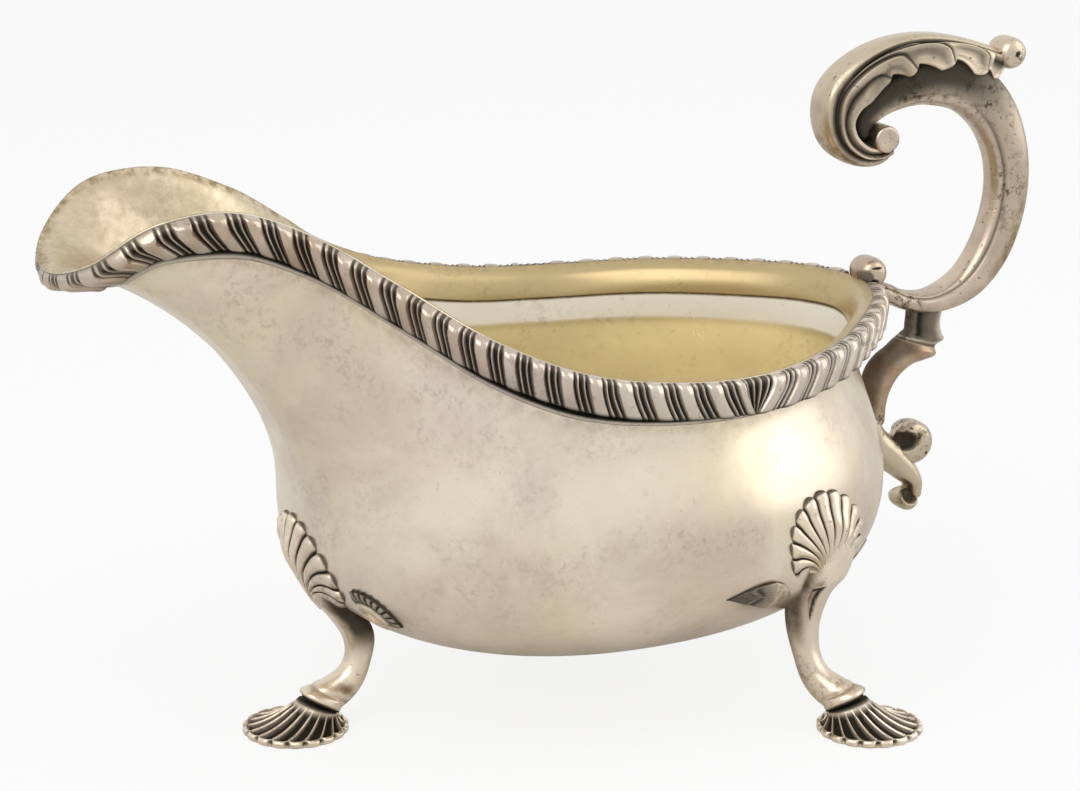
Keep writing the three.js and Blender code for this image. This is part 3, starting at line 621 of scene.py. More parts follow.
def leaf_relief(t, u):
    """How far the skin is raised, and how dark it is; u runs from the crown at 0 to the edge at 1."""
    crown_edge = crown_near + (crown_far - crown_near) * smooth(0.38, 0.72, t)
    broad = 0.05 + 0.03 * smooth(0.6, 0.35, t)
    beside = u - crown_edge - 0.06
    height = 0.35 * smooth(crown_edge, crown_edge - 0.2, u)
    height = height - 1.1 * bump(beside, broad) * smooth(0.995, 0.95, t)
    dark = bump(beside, 1.15 * broad) * smooth(1.0, 0.96, t)
    for start, length, settle in notches:
        x = np.clip((start - t) / length, 0, 1)
        line = settle + (1.02 - settle) * (1 - x) ** 15
        here = smooth(start + 0.004, start - 0.004, t) * (1 if settle > 0.5 else smooth(1.0, 0.85, x))
        groove = bump(u - line, 0.04 + 0.03 * smooth(0.2, 0.6, x)) * here
        ridge = bump(u - line - 0.085, 0.035) * here * smooth(0.08, 0.25, x)
        ridge_above = bump(u - line + 0.075, 0.035) * here * smooth(0.06, 0.2, x)
        hollow = bump(u - line - 0.27, 0.11) * here * smooth(0.04, 0.14, x) * smooth(0.75, 0.35, x)
        height = height + 0.34 * ridge + 0.22 * ridge_above
        height = height - 0.95 * groove * smooth(0.0, 0.12, x) - 0.5 * hollow
        dark = highest(dark, 0.6 * hollow, groove)
    neck = smooth(0.93, 0.95, t) * bump(u - 0.66, 0.16)
    return (height - 0.9 * neck) * smooth(0.0, 0.04, t), np.maximum(dark, 0.95 * neck)


def leaf_edge(t):
    """How far the edge hangs down: each lobe swells towards its tip, then drops back in a notch."""
    bounds = [0.30] + [notch[0] for notch in notches[::-1]] + [1.0]
    hang = np.zeros_like(t)
    for low, high in zip(bounds[:-1], bounds[1:]):
        x = np.clip((t - low) / (high - low), 0, 1)
        rise = np.clip(x / 0.6, 0, 1) ** 1.5
        turn_up = np.sqrt(np.clip(1 - (np.clip(x - 0.6, 0, 1) / 0.4) ** 2, 0, 1))
        size = middle_lobe if high < 1 else end_lobe
        hang = np.where((t >= low) & (t < high), rise * turn_up * size, hang)
    return hang


print("notches:", len(notches))

# %% [markdown]
# ## Handle: the leaf
# The leaf wraps the top of the arm and rolls forward. Its underside is near black painted shade and its
# roll is grimy.

# %% Handle: the leaf
leaf_stations = [
    (4.2, 26.6, 1.2, 0.8), (1.2, 25.9, 2.0, 0.9), (-2.8, 26.6, 2.5, 1), (-6.3, 29.5, 3, 1),
    (-7.6, 33.6, 3.4, 1), (-6.6, 38, 3.9, 1), (-2.8, 41.9, 3.7, 1), (2.5, 44.7, 3.4, 1), (8.5, 46.2, 3, 1),
    (14.5, 46.4, 2.6, 1), (20.5, 45.6, 2.2, 0.95), (26.3, 43.5, 2.5, 0.82), (30.0, 41.9, 2.7, 0.66)]
leaf_steps, leaf_sides = 420, 150
line, across = spine(leaf_stations, leaf_steps, leaf_half_width)
turn = np.linspace(0, 2 * np.pi, leaf_sides + 1)
a, c = rounded(turn, 2.7)
t_share = np.linspace(0, 1, leaf_steps + 1)[:, None]
u_share = np.minimum(turn, 2 * np.pi - turn)[None, :] / (0.70 * np.pi)
height, dark = leaf_relief(t_share, u_share)
under = smooth(1.03, 1.12, u_share)
height = (height + 0.45 * bump(u_share - 0.95, 0.06)) * (1 - under)
edge = leaf_edge(t_share)
hang = edge * fade((u_share - 0.98) / 0.34)
lift = 0.15 * edge * fade((u_share - 0.97) / 0.25)
leaf = round_line(line, across, a * line[:, 3:4] + height * a / np.hypot(a, c) - hang,
                  c * line[:, 4:5] + (height + lift) * c / np.hypot(a, c))
skin("handle_acanthus_leaf", capped(leaf), "handle_silver", ["handle_leaf"],
     # the underside is near black painted shade
     recess=np.maximum(dark * (1 - under), 0.9 * under),
     dirt=fade((t_share - 0.21) / 0.13) * smooth(0.45, 0.3, u_share))
print("leaf rings:", len(leaf))

# %% [markdown]
# ## Handle: the curls
# The roll of the leaf ends in a round button. Elsewhere a curl ends in a domed ball with sunk, dark marks.

# %% Handle: the curls
roll_place, roll_radius = (2.2, 29.3), 2.8
roll_profile = np.array([(-0.98, 0.0), (-0.98, 0.6), (-1.0, 0.8), (-0.97, 0.92), (-0.9, 0.98), (-0.7, 1.0)])
roll_profile = np.concatenate([roll_profile, [(0, 1.0)], roll_profile[::-1] * [-1, 1]])


def ball(name, node, place, radius, half_width, marks):
    """A domed boss; a mark is (along, up, reach along, reach up, depth, darkness) in shares of the radius."""
    turn = np.linspace(0, 2 * np.pi, 97)[None, :]
    over = np.linspace(0, np.pi, 81)[:, None]
    y = signed_power(np.cos(over), 0.62)
    q = np.abs(np.sin(over)) ** 0.72
    along, up = q * np.cos(turn), q * np.sin(turn)
    sunk, dark = 0 * along, 0 * along
    for mark_along, mark_up, wide, tall, depth, shade in marks:
        near = np.sqrt(((along - mark_along) / wide) ** 2 + ((up - mark_up) / tall) ** 2)
        on_face = np.abs(y) > 0.3
        sunk = np.maximum(sunk, depth * smooth(1.0, 0.55, near) * on_face)
        dark = np.maximum(dark, shade * smooth(1.0, 0.7, near) * on_face)
    across = half_width * y * (1 - sunk) + 0 * turn
    rings = from_root(*place) + np.stack([radius * along, across, radius * up], axis=-1)
    return skin(name, rings, "handle_silver", [node], recess=dark)


turn = np.linspace(0, 2 * np.pi, 49)
across, reach = roll_profile[:, :1], roll_profile[:, 1:] * roll_radius
roll = np.stack([reach * np.cos(turn), across * (leaf_half_width + 0.3) + 0 * turn, reach * np.sin(turn)],
                axis=-1)
skin("handle_roll_button", from_root(*roll_place) + roll, "handle_silver", ["handle_roll_end"])
ball("handle_top_ball", "handle_top_curl", (32.6, 44.1), 3.3, arm_half_width,
     [(0.12, 0.0, 0.2, 0.2, 0.25, 0.8), (0.1, 0, 0.07, 0.07, -0.05, 0)])
# the thumb scroll's third mark only darkens its lower left side
ball("handle_thumb_scroll", "handle_thumb_volute", (1.4, 1.2), 3.2, arm_half_width,
     [(0.0, 0.42, 0.42, 0.09, 0.12, 0.95), (-0.15, -0.72, 0.42, 0.5, 0.45, 0.95),
      (-0.75, -0.3, 0.6, 0.7, 0.06, 0.6)])
ball("handle_tail_ball", "handle_tail_volute", (12.4, -36.2), 4.6, 1.1 * bracket_half_width,
     [(-0.6, 0.2, 0.8, 0.5, 0.5, 0.95), (0.5, -0.45, 0.1, 0.08, 0.1, 0.95)])
ball("handle_tail_end", "handle_tail_curl", (11.4, -48.4), 2.3, 1.1 * bracket_half_width,
     [(0.0, 0.45, 0.85, 0.75, 0.5, 0.9)])
print("curls: 5")

# %% [markdown]
# ## Handle: bracket and tail
# The bracket is drawn by its two edges. Its waist is black, oxide and painted shade; painted shade also
# darkens its back below the elbow and its side towards the bowl low down. Copper shows through below the
# elbow.

# %% Handle: bracket and tail
# places down the bracket: right edge, left edge and half width
bracket_outline = [
    (19.8, -5.8, 10.9, -6.0, 3.4), (18.8, -9, 11, -9, 3.1), (18.5, -11.4, 10.8, -11, 3.0),
    (19.0, -13.5, 10.7, -12.2, 3.2), (19.5, -14.7, 9.9, -12.8, 3.5), (17.5, -16.1, 8.9, -13.4, 3.0),
    (17.7, -17.9, 7.7, -14.3, 3.5), (15.0, -18.8, 6.2, -15.4, 3.1), (12.2, -19.4, 3.9, -16.9, 3.0),
    (9.0, -21.6, 1.8, -19.4, 3.0), (6.9, -24.8, 0.6, -23.2, 2.9), (6.1, -28, 0.1, -27.5, 2.8),
    (6.0, -30.6, 0.0, -30.8, 2.7)]
down_share = np.linspace(0, 1, 161)[:, None]
right, left, wide = np.split(through(bracket_outline, down_share[:, 0], dims=4), [2, 4], axis=1)
a, c = rounded(np.linspace(0, 2 * np.pi, 65), 2.1)
scooped = bump(a + 0.45, 0.3) * smooth(0.40, 0.30, down_share)
middle, axis = 0.5 * (right + left), 0.5 * (right - left)
bracket = from_root(0, 0) + np.stack([middle[:, :1] + axis[:, :1] * a, wide * c * (1 - 0.5 * scooped),
                                      middle[:, 1:] + axis[:, 1:] * a], axis=-1)
upper = 0.75 * smooth(0.42, 0.34, down_share) * smooth(0.9, 0.2, a)
elbow = 0.8 * bump(down_share - 0.415, 0.02)
# the side towards the bowl, low down, and the back below the elbow are darkened as painted shade
by_bowl = 0.6 * smooth(0.6, 0.85, down_share) * smooth(0.2, -0.6, a)
behind = 0.65 * smooth(0.40, 0.47, down_share) * smooth(0.25, -0.5, a)
shade = highest(1.1 * scooped, upper, elbow, by_bowl, behind)
below_elbow = smooth(0.36, 0.46, down_share)
skin("handle_waisted_bracket", capped(bracket), "handle_silver", ["handle_bracket"],
     recess=np.clip(shade, 0, 1), dirt=0.35 * below_elbow, copper=below_elbow * smooth(1.0, 0.9, down_share))

tail_stations = [(2, -30.6, 2.3, 1), (3.8, -34.6, 2.9, 1), (7.4, -38.4, 3.3, 1.05), (10.8, -41.8, 2.7, 1),
                 (13.2, -44.8, 1.9, 0.9), (13.5, -47.6, 1.5, 0.8)]
line, across = spine(tail_stations, 60, bracket_half_width)
a, c = rounded(np.linspace(0, 2 * np.pi, 41), 2.2)
tail = round_line(line, across, line[:, 3:4] * a, line[:, 4:5] * c)
skin("handle_tail_strap", capped(tail), "handle_silver", ["handle_tail"])
print("bracket and tail rings:", len(bracket), len(tail))

# %% [markdown]
# ## Legs: places
# A leg is worked outwards, sideways and upwards from its own zero, then turned to its place. From the
# knee up it leans in by `knee_in`, rises by `knee_up` and twists by `knee_turn`.

# %% Legs: places
front_place = dict(x=-40, y=0, turn=180, knee_in=0, knee_up=0, knee_turn=0)
rear_place = dict(x=41.7, y=-36.6, turn=-50, knee_in=4, knee_up=4, knee_turn=-8)
rear_leg_place = dict(rear_place, knee_in=2.4, knee_turn=-22)
rear_shell_place = dict(rear_place, knee_in=4.8, knee_up=5.6, knee_turn=-38)
knee_starts, knee_ends = 11, 25


def mirrored(place):
    return dict(place, y=-place["y"], turn=-place["turn"], knee_turn=-place["knee_turn"])


def on_leg(place, out, sideways, up):
    q = smooth(knee_starts, knee_ends, up)
    base = math.radians(place["turn"])
    a = base + np.radians(place["knee_turn"]) * q
    x = place["x"] - place["knee_in"] * q * math.cos(base) + out * np.cos(a) - sideways * np.sin(a)
    y = place["y"] - place["knee_in"] * q * math.sin(base) + out * np.sin(a) + sideways * np.cos(a)
    return np.stack([x, y, up + place["knee_up"] * q + 0 * x], axis=-1)


print("front leg at", front_place["x"], "mm, rear legs at", rear_place["x"], "mm")

# %% [markdown]
# ## Legs: holding on to the belly
# `belly_share` is 1 on the belly and less inside it. With it a place is moved level, straight out from
# the bowl's middle, until it stands off the belly by a given rise.

# %% Legs: holding on to the belly
belly_middle = np.array([belly_middle_x, 0])


def belly_share(x, y, z):
    drop = np.maximum(0, (belly_z - z) / (belly_z - floor_z))
    spread_here = np.maximum(0, 1 - np.minimum(drop, 1) ** belly_turn) ** (1 / belly_turn)
    reach = np.where(x < belly_middle_x, belly_front, belly_back)
    along, across = np.abs(x - belly_middle_x) / reach, np.abs(y) / belly_half_width
    return (along**belly_blunt + across**belly_blunt) ** (1 / belly_blunt) / np.maximum(0.05, spread_here)


def reach_and_belly(p):
    """How far places are from the bowl's middle, and how far the belly is on the same way out."""
    length = np.linalg.norm(p[..., :2] - belly_middle, axis=-1)
    return length, length / belly_share(p[..., 0], p[..., 1], p[..., 2])


def at_reach(p, reach):
    plan = p[..., :2] - belly_middle
    plan = plan * (reach / np.linalg.norm(plan, axis=-1))[..., None]
    return np.concatenate([plan + belly_middle, p[..., 2:]], axis=-1)


def on_belly(degrees, z, rise):
    a = np.radians(degrees)
    reach = 1 / belly_share(belly_middle_x + np.cos(a), np.sin(a), z) + rise
    return np.stack([belly_middle_x + reach * np.cos(a), reach * np.sin(a), z + 0 * a], axis=-1)


print("share of the belly 10 mm inside its front:", round(float(belly_share(-42, 0, belly_z)), 3))

# %% [markdown]
# ## Legs: the leg itself
# A leg runs from the knee down to a rolled cuff. A rear leg has a keyhole sunk in its face, and the
# front leg has painted shade of hollows, in copper brown, beside the fold above its cuff. The top of a leg
# by the belly is darkened with painted shade and grime.

# %% Legs: the leg itself
# places on the outer and the inner line, each out and up, and the half width there
leg_outline = [
    (9.6, 38.6, 2.8, 38.6, 5.2), (10.8, 33.2, 2.8, 31.6, 5.8), (8.9, 27.0, 1.0, 25.6, 5.7),
    (5.0, 22.3, -2.8, 21.0, 4.5), (2.1, 17.6, -4.0, 17.0, 3.3), (1.7, 13.8, -3.1, 12.2, 2.75),
    (3.1, 11.3, -1.9, 8.9, 2.75), (6.0, 9.7, -0.3, 6.5, 3.0), (8.8, 8.8, 1.5, 4.9, 3.4),
    (10.7, 8.2, 3.1, 4.0, 3.8)]
# rings of the cuff: share of the leg's last ring, and the way on from it
cuff_rings = np.array([(1.01, 0.15), (1.02, 0.4), (1.0, 0.65), (0.96, 0.85), (0.9, 0.98), (0.86, 1.0),
                       (0.84, 1.05), (0.83, 1.3), (0.5, 1.3), (0.0, 1.3)])
keyhole_aside, keyhole_foot, keyhole_length = 0.52, 18.4, 7.0


def leg_rings(place, keyhole):
    """`keyhole` is where the mark lies across the leg, as a share of its half width; 0 leaves it out."""
    steps = np.linspace(0, 1, 220)
    line = through(leg_outline, steps, dims=4)
    turn = np.linspace(0, 2 * np.pi, 161)
    a, c = rounded(turn, 2.4)
    centre, axis = 0.5 * (line[:, :2] + line[:, 2:4]), 0.5 * (line[:, :2] - line[:, 2:4])
    down = np.array([axis[-1, 1], -axis[-1, 0]]) / np.linalg.norm(axis[-1])
    size = np.concatenate([1 - 0.07 * bump(steps - 0.90, 0.03), cuff_rings[:, 0]])[:, None]
    size = 1 + (size - 1) * np.where(size > 0.8, smooth(-1.0, -0.2, a), 1)
    centre = np.concatenate([centre, centre[-1] + cuff_rings[:, 1:] * down])
    axis, wide = (np.pad(values, ((0, len(cuff_rings)), (0, 0)), mode="edge")
                  for values in (axis, line[:, 4:]))
    steps = np.concatenate([steps, 1 + 0.01 * np.arange(1, len(cuff_rings) + 1)])[:, None]
    drop = (centre[:, 1:] - keyhole_foot) / keyhole_length
    aside = np.abs((c - keyhole) * wide) / (1.6 * np.clip(drop, 0.001, 1) ** 0.8)
    inner = np.clip(1 - aside, 0, 1) * ((drop > 0) & (drop < 1)) * smooth(0.1, 0.4, a)
    inner = np.minimum(inner, 3 * np.clip(1 - drop, 0, 1)) * smooth(0.0, 0.22, drop) * (keyhole != 0)
    sunk = 0.8 * smooth(0, 0.45, inner)
    along = a * (1 - sunk / np.maximum(np.linalg.norm(axis, axis=1)[:, None], 0.5)) * size
    up = centre[:, 1:] + axis[:, 1:] * along
    face = on_leg(place, centre[:, :1] + axis[:, :1] * along, c * wide * size, up)
    length, belly = reach_and_belly(face)
    mark_edge = smooth(0.0, 0.22, inner) * smooth(0.85, 0.4, inner)
    fold = bump(steps - 0.90, 0.025) * (0.6 + 0.35 * np.cos(2 * turn + 0.8))
    cuff_shade = smooth(1.035, 1.055, steps)
    # the top of the leg by the belly is darkened: painted shade with grime, laid as near black, brown and
    # copper
    by_belly = smooth(14, 20.5, up) * smooth(0.9, 0.3, a)
    # on the front leg, painted shade of hollows in copper brown above the fold; the leg is not sunk there
    pocket = bump(steps - 0.79, 0.045) * smooth(0.35, 0.8, np.abs(c)) * smooth(0.75, 0.2, np.abs(a - 0.1))
    pocket = pocket * (keyhole == 0)
    belly_grime = by_belly * (0.92 if keyhole == 0 else 0.7)
    dark = highest(mark_edge, 0.25 * fold, cuff_shade, belly_grime, 0.25 * pocket)
    brown = highest(0.9 * fold, by_belly, 0.8 * smooth(0.3, 0.6, inner), pocket)
    return (at_reach(face, np.maximum(length, belly - 0.5)), np.clip(dark, 0, 1), np.clip(brown, 0, 1),
            np.maximum(0.6 * by_belly, 1.2 * pocket))


print("rings in a cuff:", len(cuff_rings))

# %% [markdown]
# ## Legs: the knee shells
# Broad fingers start side by side at the hinge and bend apart, with rounded ends. The shell's skirt
# runs down on to the belly. On a rear leg the low fingers are tucked in behind the leg.

# %% Legs: the knee shells
shell_half, shell_ribs, shell_bend, shell_hinge = 12.4, 17, 0.72, 24.5
shell_shares = np.concatenate([[0.0, 0.04], np.linspace(0.1, 0.9, 30),
                               [0.93, 0.96, 0.985, 1.0, 1.008, 1.008, 0.5, 0.0]])[:, None]
shell_skirt = np.concatenate([np.zeros(32), [0.08, 0.22, 0.5, 0.85, 1.2, 1.6, 1.65, 1.65]])[:, None]
# places up the front of a shell: up and out
knee_line = through([(22, 4.9, 0), (26.2, 8.3, 0), (28.9, 9.7, 0), (31.7, 11.0, 0), (35, 12.8, 0),
                     (38.3, 14.2, 0), (41.3, 14.5, 0), (43.9, 13.9, 0), (45.6, 12.9, 0), (48, 11.4, 0)],
                    np.linspace(0, 1, 200), dims=2)


def knee_rings(place, bulge, tuck):
    turn, share = np.linspace(-np.pi, np.pi, shell_ribs * 24 + 1)[None, :], shell_shares
    below = np.abs(turn)
    rib = np.abs(np.cos(shell_ribs * turn / 2))
    rib = 1 - (1 - rib) * smooth(2.45, 2.1, below)
    finger = rib**0.6
    bent = turn * (1 - shell_bend * (1 - np.minimum(share, 1)) ** 1.2 * smooth(np.pi, 2.2, below))
    reach = share * (1 + 0.07 * (finger - 0.75) * smooth(0.75, 1, share))
    sideways = reach * shell_half * np.sin(bent) * (1 - 0.5 * smooth(1.9, 2.7, below))
    up = shell_hinge + reach * knee_shell_height * (0.46 + 0.54 * np.cos(bent))
    relief = 0.95 * smooth(0.05, 0.4, share) * (finger - 0.72)
    out = np.interp(up, knee_line[:, 0], knee_line[:, 1]) - 7 * (sideways / shell_half) ** 2
    face = on_leg(place, out, sideways, up)
    length, belly = reach_and_belly(face)
    lowest = belly + 1.0
    over = 0.5 * (length - lowest + np.sqrt((length - lowest) ** 2 + 2.0))
    over = over + bulge * np.clip(1 - share, 0, 1) ** 0.8 * smooth(26, 34, up)
    drawn_in = smooth(0.5, 1.0, share) * np.maximum(smooth(25, 31, up), smooth(4.0, 6.5, np.abs(sideways)))
    kept = 1 - smooth(2.0, 2.6, below) * smooth(0.1, 0.8, share)
    tucked = tuck * smooth(2.05, 2.3, below) * smooth(0.25, 0.5, share)
    grown = lowest + over * (1 - drawn_in) * kept + relief - shell_skirt - tucked
    # the shell's rim is darkened as a painted shadow where it meets the belly
    edge = 0.85 * smooth(0.985, 1.0, share) * smooth(2.4, 2.1, below)
    dark = np.maximum(smooth(0.5, 0.15, rib) * smooth(0.1, 0.3, share), edge)
    return at_reach(face, np.maximum(grown, lowest - 1.6)), dark, 1.2 - finger


print("fingers of a knee shell:", shell_ribs)

# %% [markdown]
# ## Legs: the shell feet
# Thin bright ridges with scooped flutes between run from the cuff down to a beaded edge, which is
# drilled at each ridge.

# %% Legs: the shell feet
foot_out, foot_edge, foot_edge_up = 12.4, 0.95 * foot_radius, 1.35
cuff_out, cuff_up = 7.78, 4.685
# round the beaded edge and under the foot: how far beyond the edge, and how high
bead = np.array([(0.10, 1.5), (0.3, 1.55), (0.52, 1.45), (0.7, 1.2), (0.74, 0.85), (0.66, 0.5), (0.45, 0.2),
                 (0.15, 0.03), (-0.3, 0.0), (-4, 0.0), (-foot_edge, 0.0)])


def foot_rings(place):
    turn = np.linspace(0, 2 * np.pi, foot_ribs * 20 + 1)[None, :]
    share = np.concatenate([[0.0, 0.0], np.linspace(0, 1, 26)])[:, None]
    top_scale = np.concatenate([[0.0], np.ones(27)])[:, None]
    top_out = cuff_out + top_scale * 3.95 * 0.906 * np.cos(turn)
    top_up = cuff_up + top_scale * 3.95 * 0.423 * np.cos(turn)
    top_side = top_scale * 4.0 * np.sin(turn)
    rib = np.abs(np.cos(foot_ribs * turn / 2))
    ridge = smooth(0.88, 1.0, rib)
    cut = smooth(0.1, 0.3, share) * smooth(1.0, 0.93, share)
    scoop = (1 - ridge) * cut
    out = top_out + (foot_out + foot_edge * np.cos(turn) - top_out) * share**1.05
    out = out - 0.35 * scoop * np.cos(turn)
    side = top_side + (foot_edge * np.sin(turn) - top_side) * share**1.05
    side = side - 0.35 * scoop * np.sin(turn)
    up = top_up + (foot_edge_up - top_up) * (1 - (1 - share) ** 1.75) - 0.85 * scoop + 0.25 * ridge * cut
    flutes = smooth(0.985, 0.93, rib) * smooth(0.02, 0.2, share) * smooth(1.02, 0.97, share)
    dark = np.maximum(flutes, smooth(0.10, 0.02, share))
    beyond, z = bead[:, :1], bead[:, 1:]
    drill = bump(z - 1.0, 0.5) * bump(rib - 1, 0.10) * (beyond > 0)
    r = foot_edge + beyond + 0.3 * (0.6 - rib**4) * (beyond > 0.05) - 0.75 * drill
    out = np.concatenate([out, foot_out + r * np.cos(turn)])
    side = np.concatenate([side, r * np.sin(turn)])
    up = np.concatenate([up, z + 0 * turn])
    return on_leg(place, out, side, np.maximum(up, 0)), np.clip(np.concatenate([dark, 1.1 * drill]), 0, 1)


print("ridges on a foot:", foot_ribs)

# %% [markdown]
# ## Legs: the small fans
# A fan lies on the belly. The front leg's is an arc of short dark ribs round a smooth pointed leaf. A
# rear leg's is a pointed leaf, with fine ribs that run together at its tip. A place is (degrees, height).

# %% Legs: the small fans
fan_turn = np.linspace(-np.pi, np.pi, 217)[None, :]
fan_reach, fan_stem, fan_starts, fan_ends = 6.5, 3.2, -8, 112
# rows of a fan from its edge inwards: share of its reach, and its rise off the belly
arc_rows = np.array([
    (1.0, -0.8), (1.0, 0.1), (0.985, 0.45), (0.95, 0.65), (0.88, 0.75), (0.8, 0.75), (0.72, 0.65),
    (0.66, 0.45), (0.62, 0.3), (0.585, 0.75), (0.54, 1.05), (0.45, 1.2), (0.3, 1.15), (0.15, 1.1), (0, 1.1)])
leaf_rows = np.array([
    (1.0, -0.8), (1.0, 0.05), (0.985, 0.3), (0.94, 0.5), (0.86, 0.7), (0.76, 0.85), (0.62, 1.0), (0.45, 1.1),
    (0.28, 1.15), (0.12, 1.2), (0, 1.2)])


def arc_fan(focus):
    share, rise = arc_rows[:, :1], arc_rows[:, 1:]
    degrees_of = np.degrees(fan_turn)
    middle, half = (fan_starts + fan_ends) / 2, (fan_ends - fan_starts) / 2
    open_arc = smooth(half + 14, half - 4, np.abs((degrees_of - middle + 180) % 360 - 180))
    rib = np.abs(np.sin(9 * np.pi * (degrees_of - fan_starts) / (2 * half)))
    band = smooth(0.6, 0.66, share) * smooth(1.0, 0.97, share) * open_arc
    r = share * (fan_stem + (fan_reach - fan_stem) * open_arc) * (0.97 + 0.03 * rib * band)
    height = rise - 0.4 * (1 - rib) * band + 0.15
    dark = highest(np.clip(1.35 - rib, 0.5, 1) * band, 0.95 * (share > 0.96) * open_arc,
                   0.95 * fade((share - 0.63) / 0.07) * open_arc)
    face = on_belly(focus[0] + r * np.cos(fan_turn) / 0.93, focus[1] + r * np.sin(fan_turn), height)
    return face, dark, 0.5


def leaf_fan(root, tip, half_height, proud):
    share, rise = leaf_rows[:, :1], leaf_rows[:, 1:]
    along = 0.5 + 0.5 * share * np.cos(fan_turn)
    round_end = np.sqrt(np.clip(1 - (1 - np.clip(along / 0.5, 0, 1)) ** 2, 0, 1))
    width = half_height * round_end * np.clip((1 - along) / 0.6, 0, 1) ** 0.8
    across = np.clip(share * np.sin(fan_turn) * 1.25, -1, 1) * width
    rib = np.abs(np.cos(6.5 * across / (0.25 + 1.6 * (1 - along))))
    tip_side = smooth(0.3, 0.55, along)
    ribbed = (1 - rib) * smooth(1.0, 0.93, share) * tip_side
    height = proud * rise * (0.6 + 0.4 * smooth(1.0, 0.5, along)) - 0.22 * ribbed
    dark = 0.12 + 0.55 * tip_side + 0.45 * ribbed + 0.5 * (share > 0.97) + 0.6 * smooth(0.2, 0.02, along)
    face = on_belly(root[0] + (tip[0] - root[0]) * along,
                    root[1] + (tip[1] - root[1]) * along + across + 0.9 * np.sin(np.pi * along), height)
    return face, np.clip(dark, 0, 0.95), 0.3 + 0.6 * (1 - tip_side)


front_fan = arc_fan((-160.6, 27.4))
fore_fan = leaf_fan((-59.0, 28.6), (-79.6, 32.0), 3.0, 1.0)
back_fan = leaf_fan((-34.0, 27.4), (-17.0, 29.4), 2.6, 0.55)
print("fans drawn: 3")

# %% [markdown]
# ## Legs: three of each
# The rear left leg mirrors the rear right one, and a front leg's left fan mirrors its right one.

# %% Legs: three of each
rear_fans = {"back": back_fan, "fore": fore_fan}
# each leg: places of its foot, of the leg and of its shell, keyhole, shell's bulge, tuck and grime, fans
legs = {
    "front": (front_place, front_place, front_place, 0, 0, 0, 0.75, {"right": front_fan, "left": front_fan}),
    "rear_right": (rear_place, rear_leg_place, rear_shell_place, -keyhole_aside, 1.3, 1.8, 0.25, rear_fans),
    "rear_left": (mirrored(rear_place), mirrored(rear_leg_place), mirrored(rear_shell_place), keyhole_aside,
                  1.3, 1.8, 0.25, rear_fans)}
for label, (foot_place, leg_place, shell_place, keyhole, bulge, tuck, grimy, fans) in legs.items():
    face, dark, brown, copper = leg_rings(leg_place, keyhole)
    skin("cabriole_leg_" + label, capped(face, both=False), "leg_silver", ["leg_" + label],
         recess=dark, dirt=brown, copper=copper)
    face, dark, grime = knee_rings(shell_place, bulge, tuck)
    skin("scallop_knee_" + label, face, "leg_silver", ["knee_shell_" + label],
         recess=dark, dirt=grimy * grime)
    face, dark = foot_rings(foot_place)
    skin("scallop_foot_" + label, face, "leg_silver", ["foot_shell_" + label], recess=dark)
    for hand, (face, dark, brown) in fans.items():
        flip = [1, -1, 1] if label == "rear_left" or hand == "left" else 1
        skin("fan_" + label + "_" + hand, face * flip, "leg_silver", ["wing_fan_" + label + "_" + hand],
             recess=dark, dirt=brown)
print("legs:", len(legs))

# %% [markdown]
# ## Aged silver: node helpers
# Each helper adds one node and gives back its output. A number or a colour may stand for any input.

# %% Aged silver: node helpers
def add_node(tree, kind, **values):
    node = tree.nodes.new(kind)
    for name, value in values.items():
        if hasattr(node, name):
            setattr(node, name, value)
        else:
            node.inputs[name.replace("_", " ")].default_value = value
    return node


def feed(tree, socket, value):
    if isinstance(value, (int, float)):
        socket.default_value = value
    elif isinstance(value, tuple):
        socket.default_value = (*value, 1)
    else:
        tree.links.new(value, socket)


def noise(tree, place, scale, detail, roughness, distortion=0.0):
    node = add_node(tree, "ShaderNodeTexNoise", Scale=scale, Detail=detail, Roughness=roughness,
                    Distortion=distortion)
    feed(tree, node.inputs["Vector"], place)
    return node.outputs["Fac"]


def between(tree, value, low, high):
    node = add_node(tree, "ShaderNodeMapRange", From_Min=low, From_Max=high)
    feed(tree, node.inputs["Value"], value)
    return node.outputs["Result"]


def maths(tree, operation, first, second, clamp=False):
    node = add_node(tree, "ShaderNodeMath", operation=operation, use_clamp=clamp)
    feed(tree, node.inputs[0], first)
    feed(tree, node.inputs[1], second)
    return node.outputs[0]


def times(tree, first, second, clamp=False):
    return maths(tree, "MULTIPLY", first, second, clamp)


def blend(tree, factor, first, second):
    node = add_node(tree, "ShaderNodeMix", data_type="RGBA")
    # inputs 6 and 7 and output 2 of this node are its colours
    for socket, value in ((node.inputs["Factor"], factor), (node.inputs[6], first), (node.inputs[7], second)):
        feed(tree, socket, value)
    return node.outputs[2]


def mask_of(tree, name):
    return add_node(tree, "ShaderNodeAttribute", attribute_name=name).outputs["Fac"]


print("node helpers ready")

# %% [markdown]
# ## Aged silver: the shared group
# It makes the colour, roughness, height and metal of old silver: pinkish and grey clouds of tarnish,
# pits and a mottled crust, copper showing through, brown grime, and near black oxide in the recesses.
# The copper, grime and oxide masks also lay painted shade where a piece puts it.

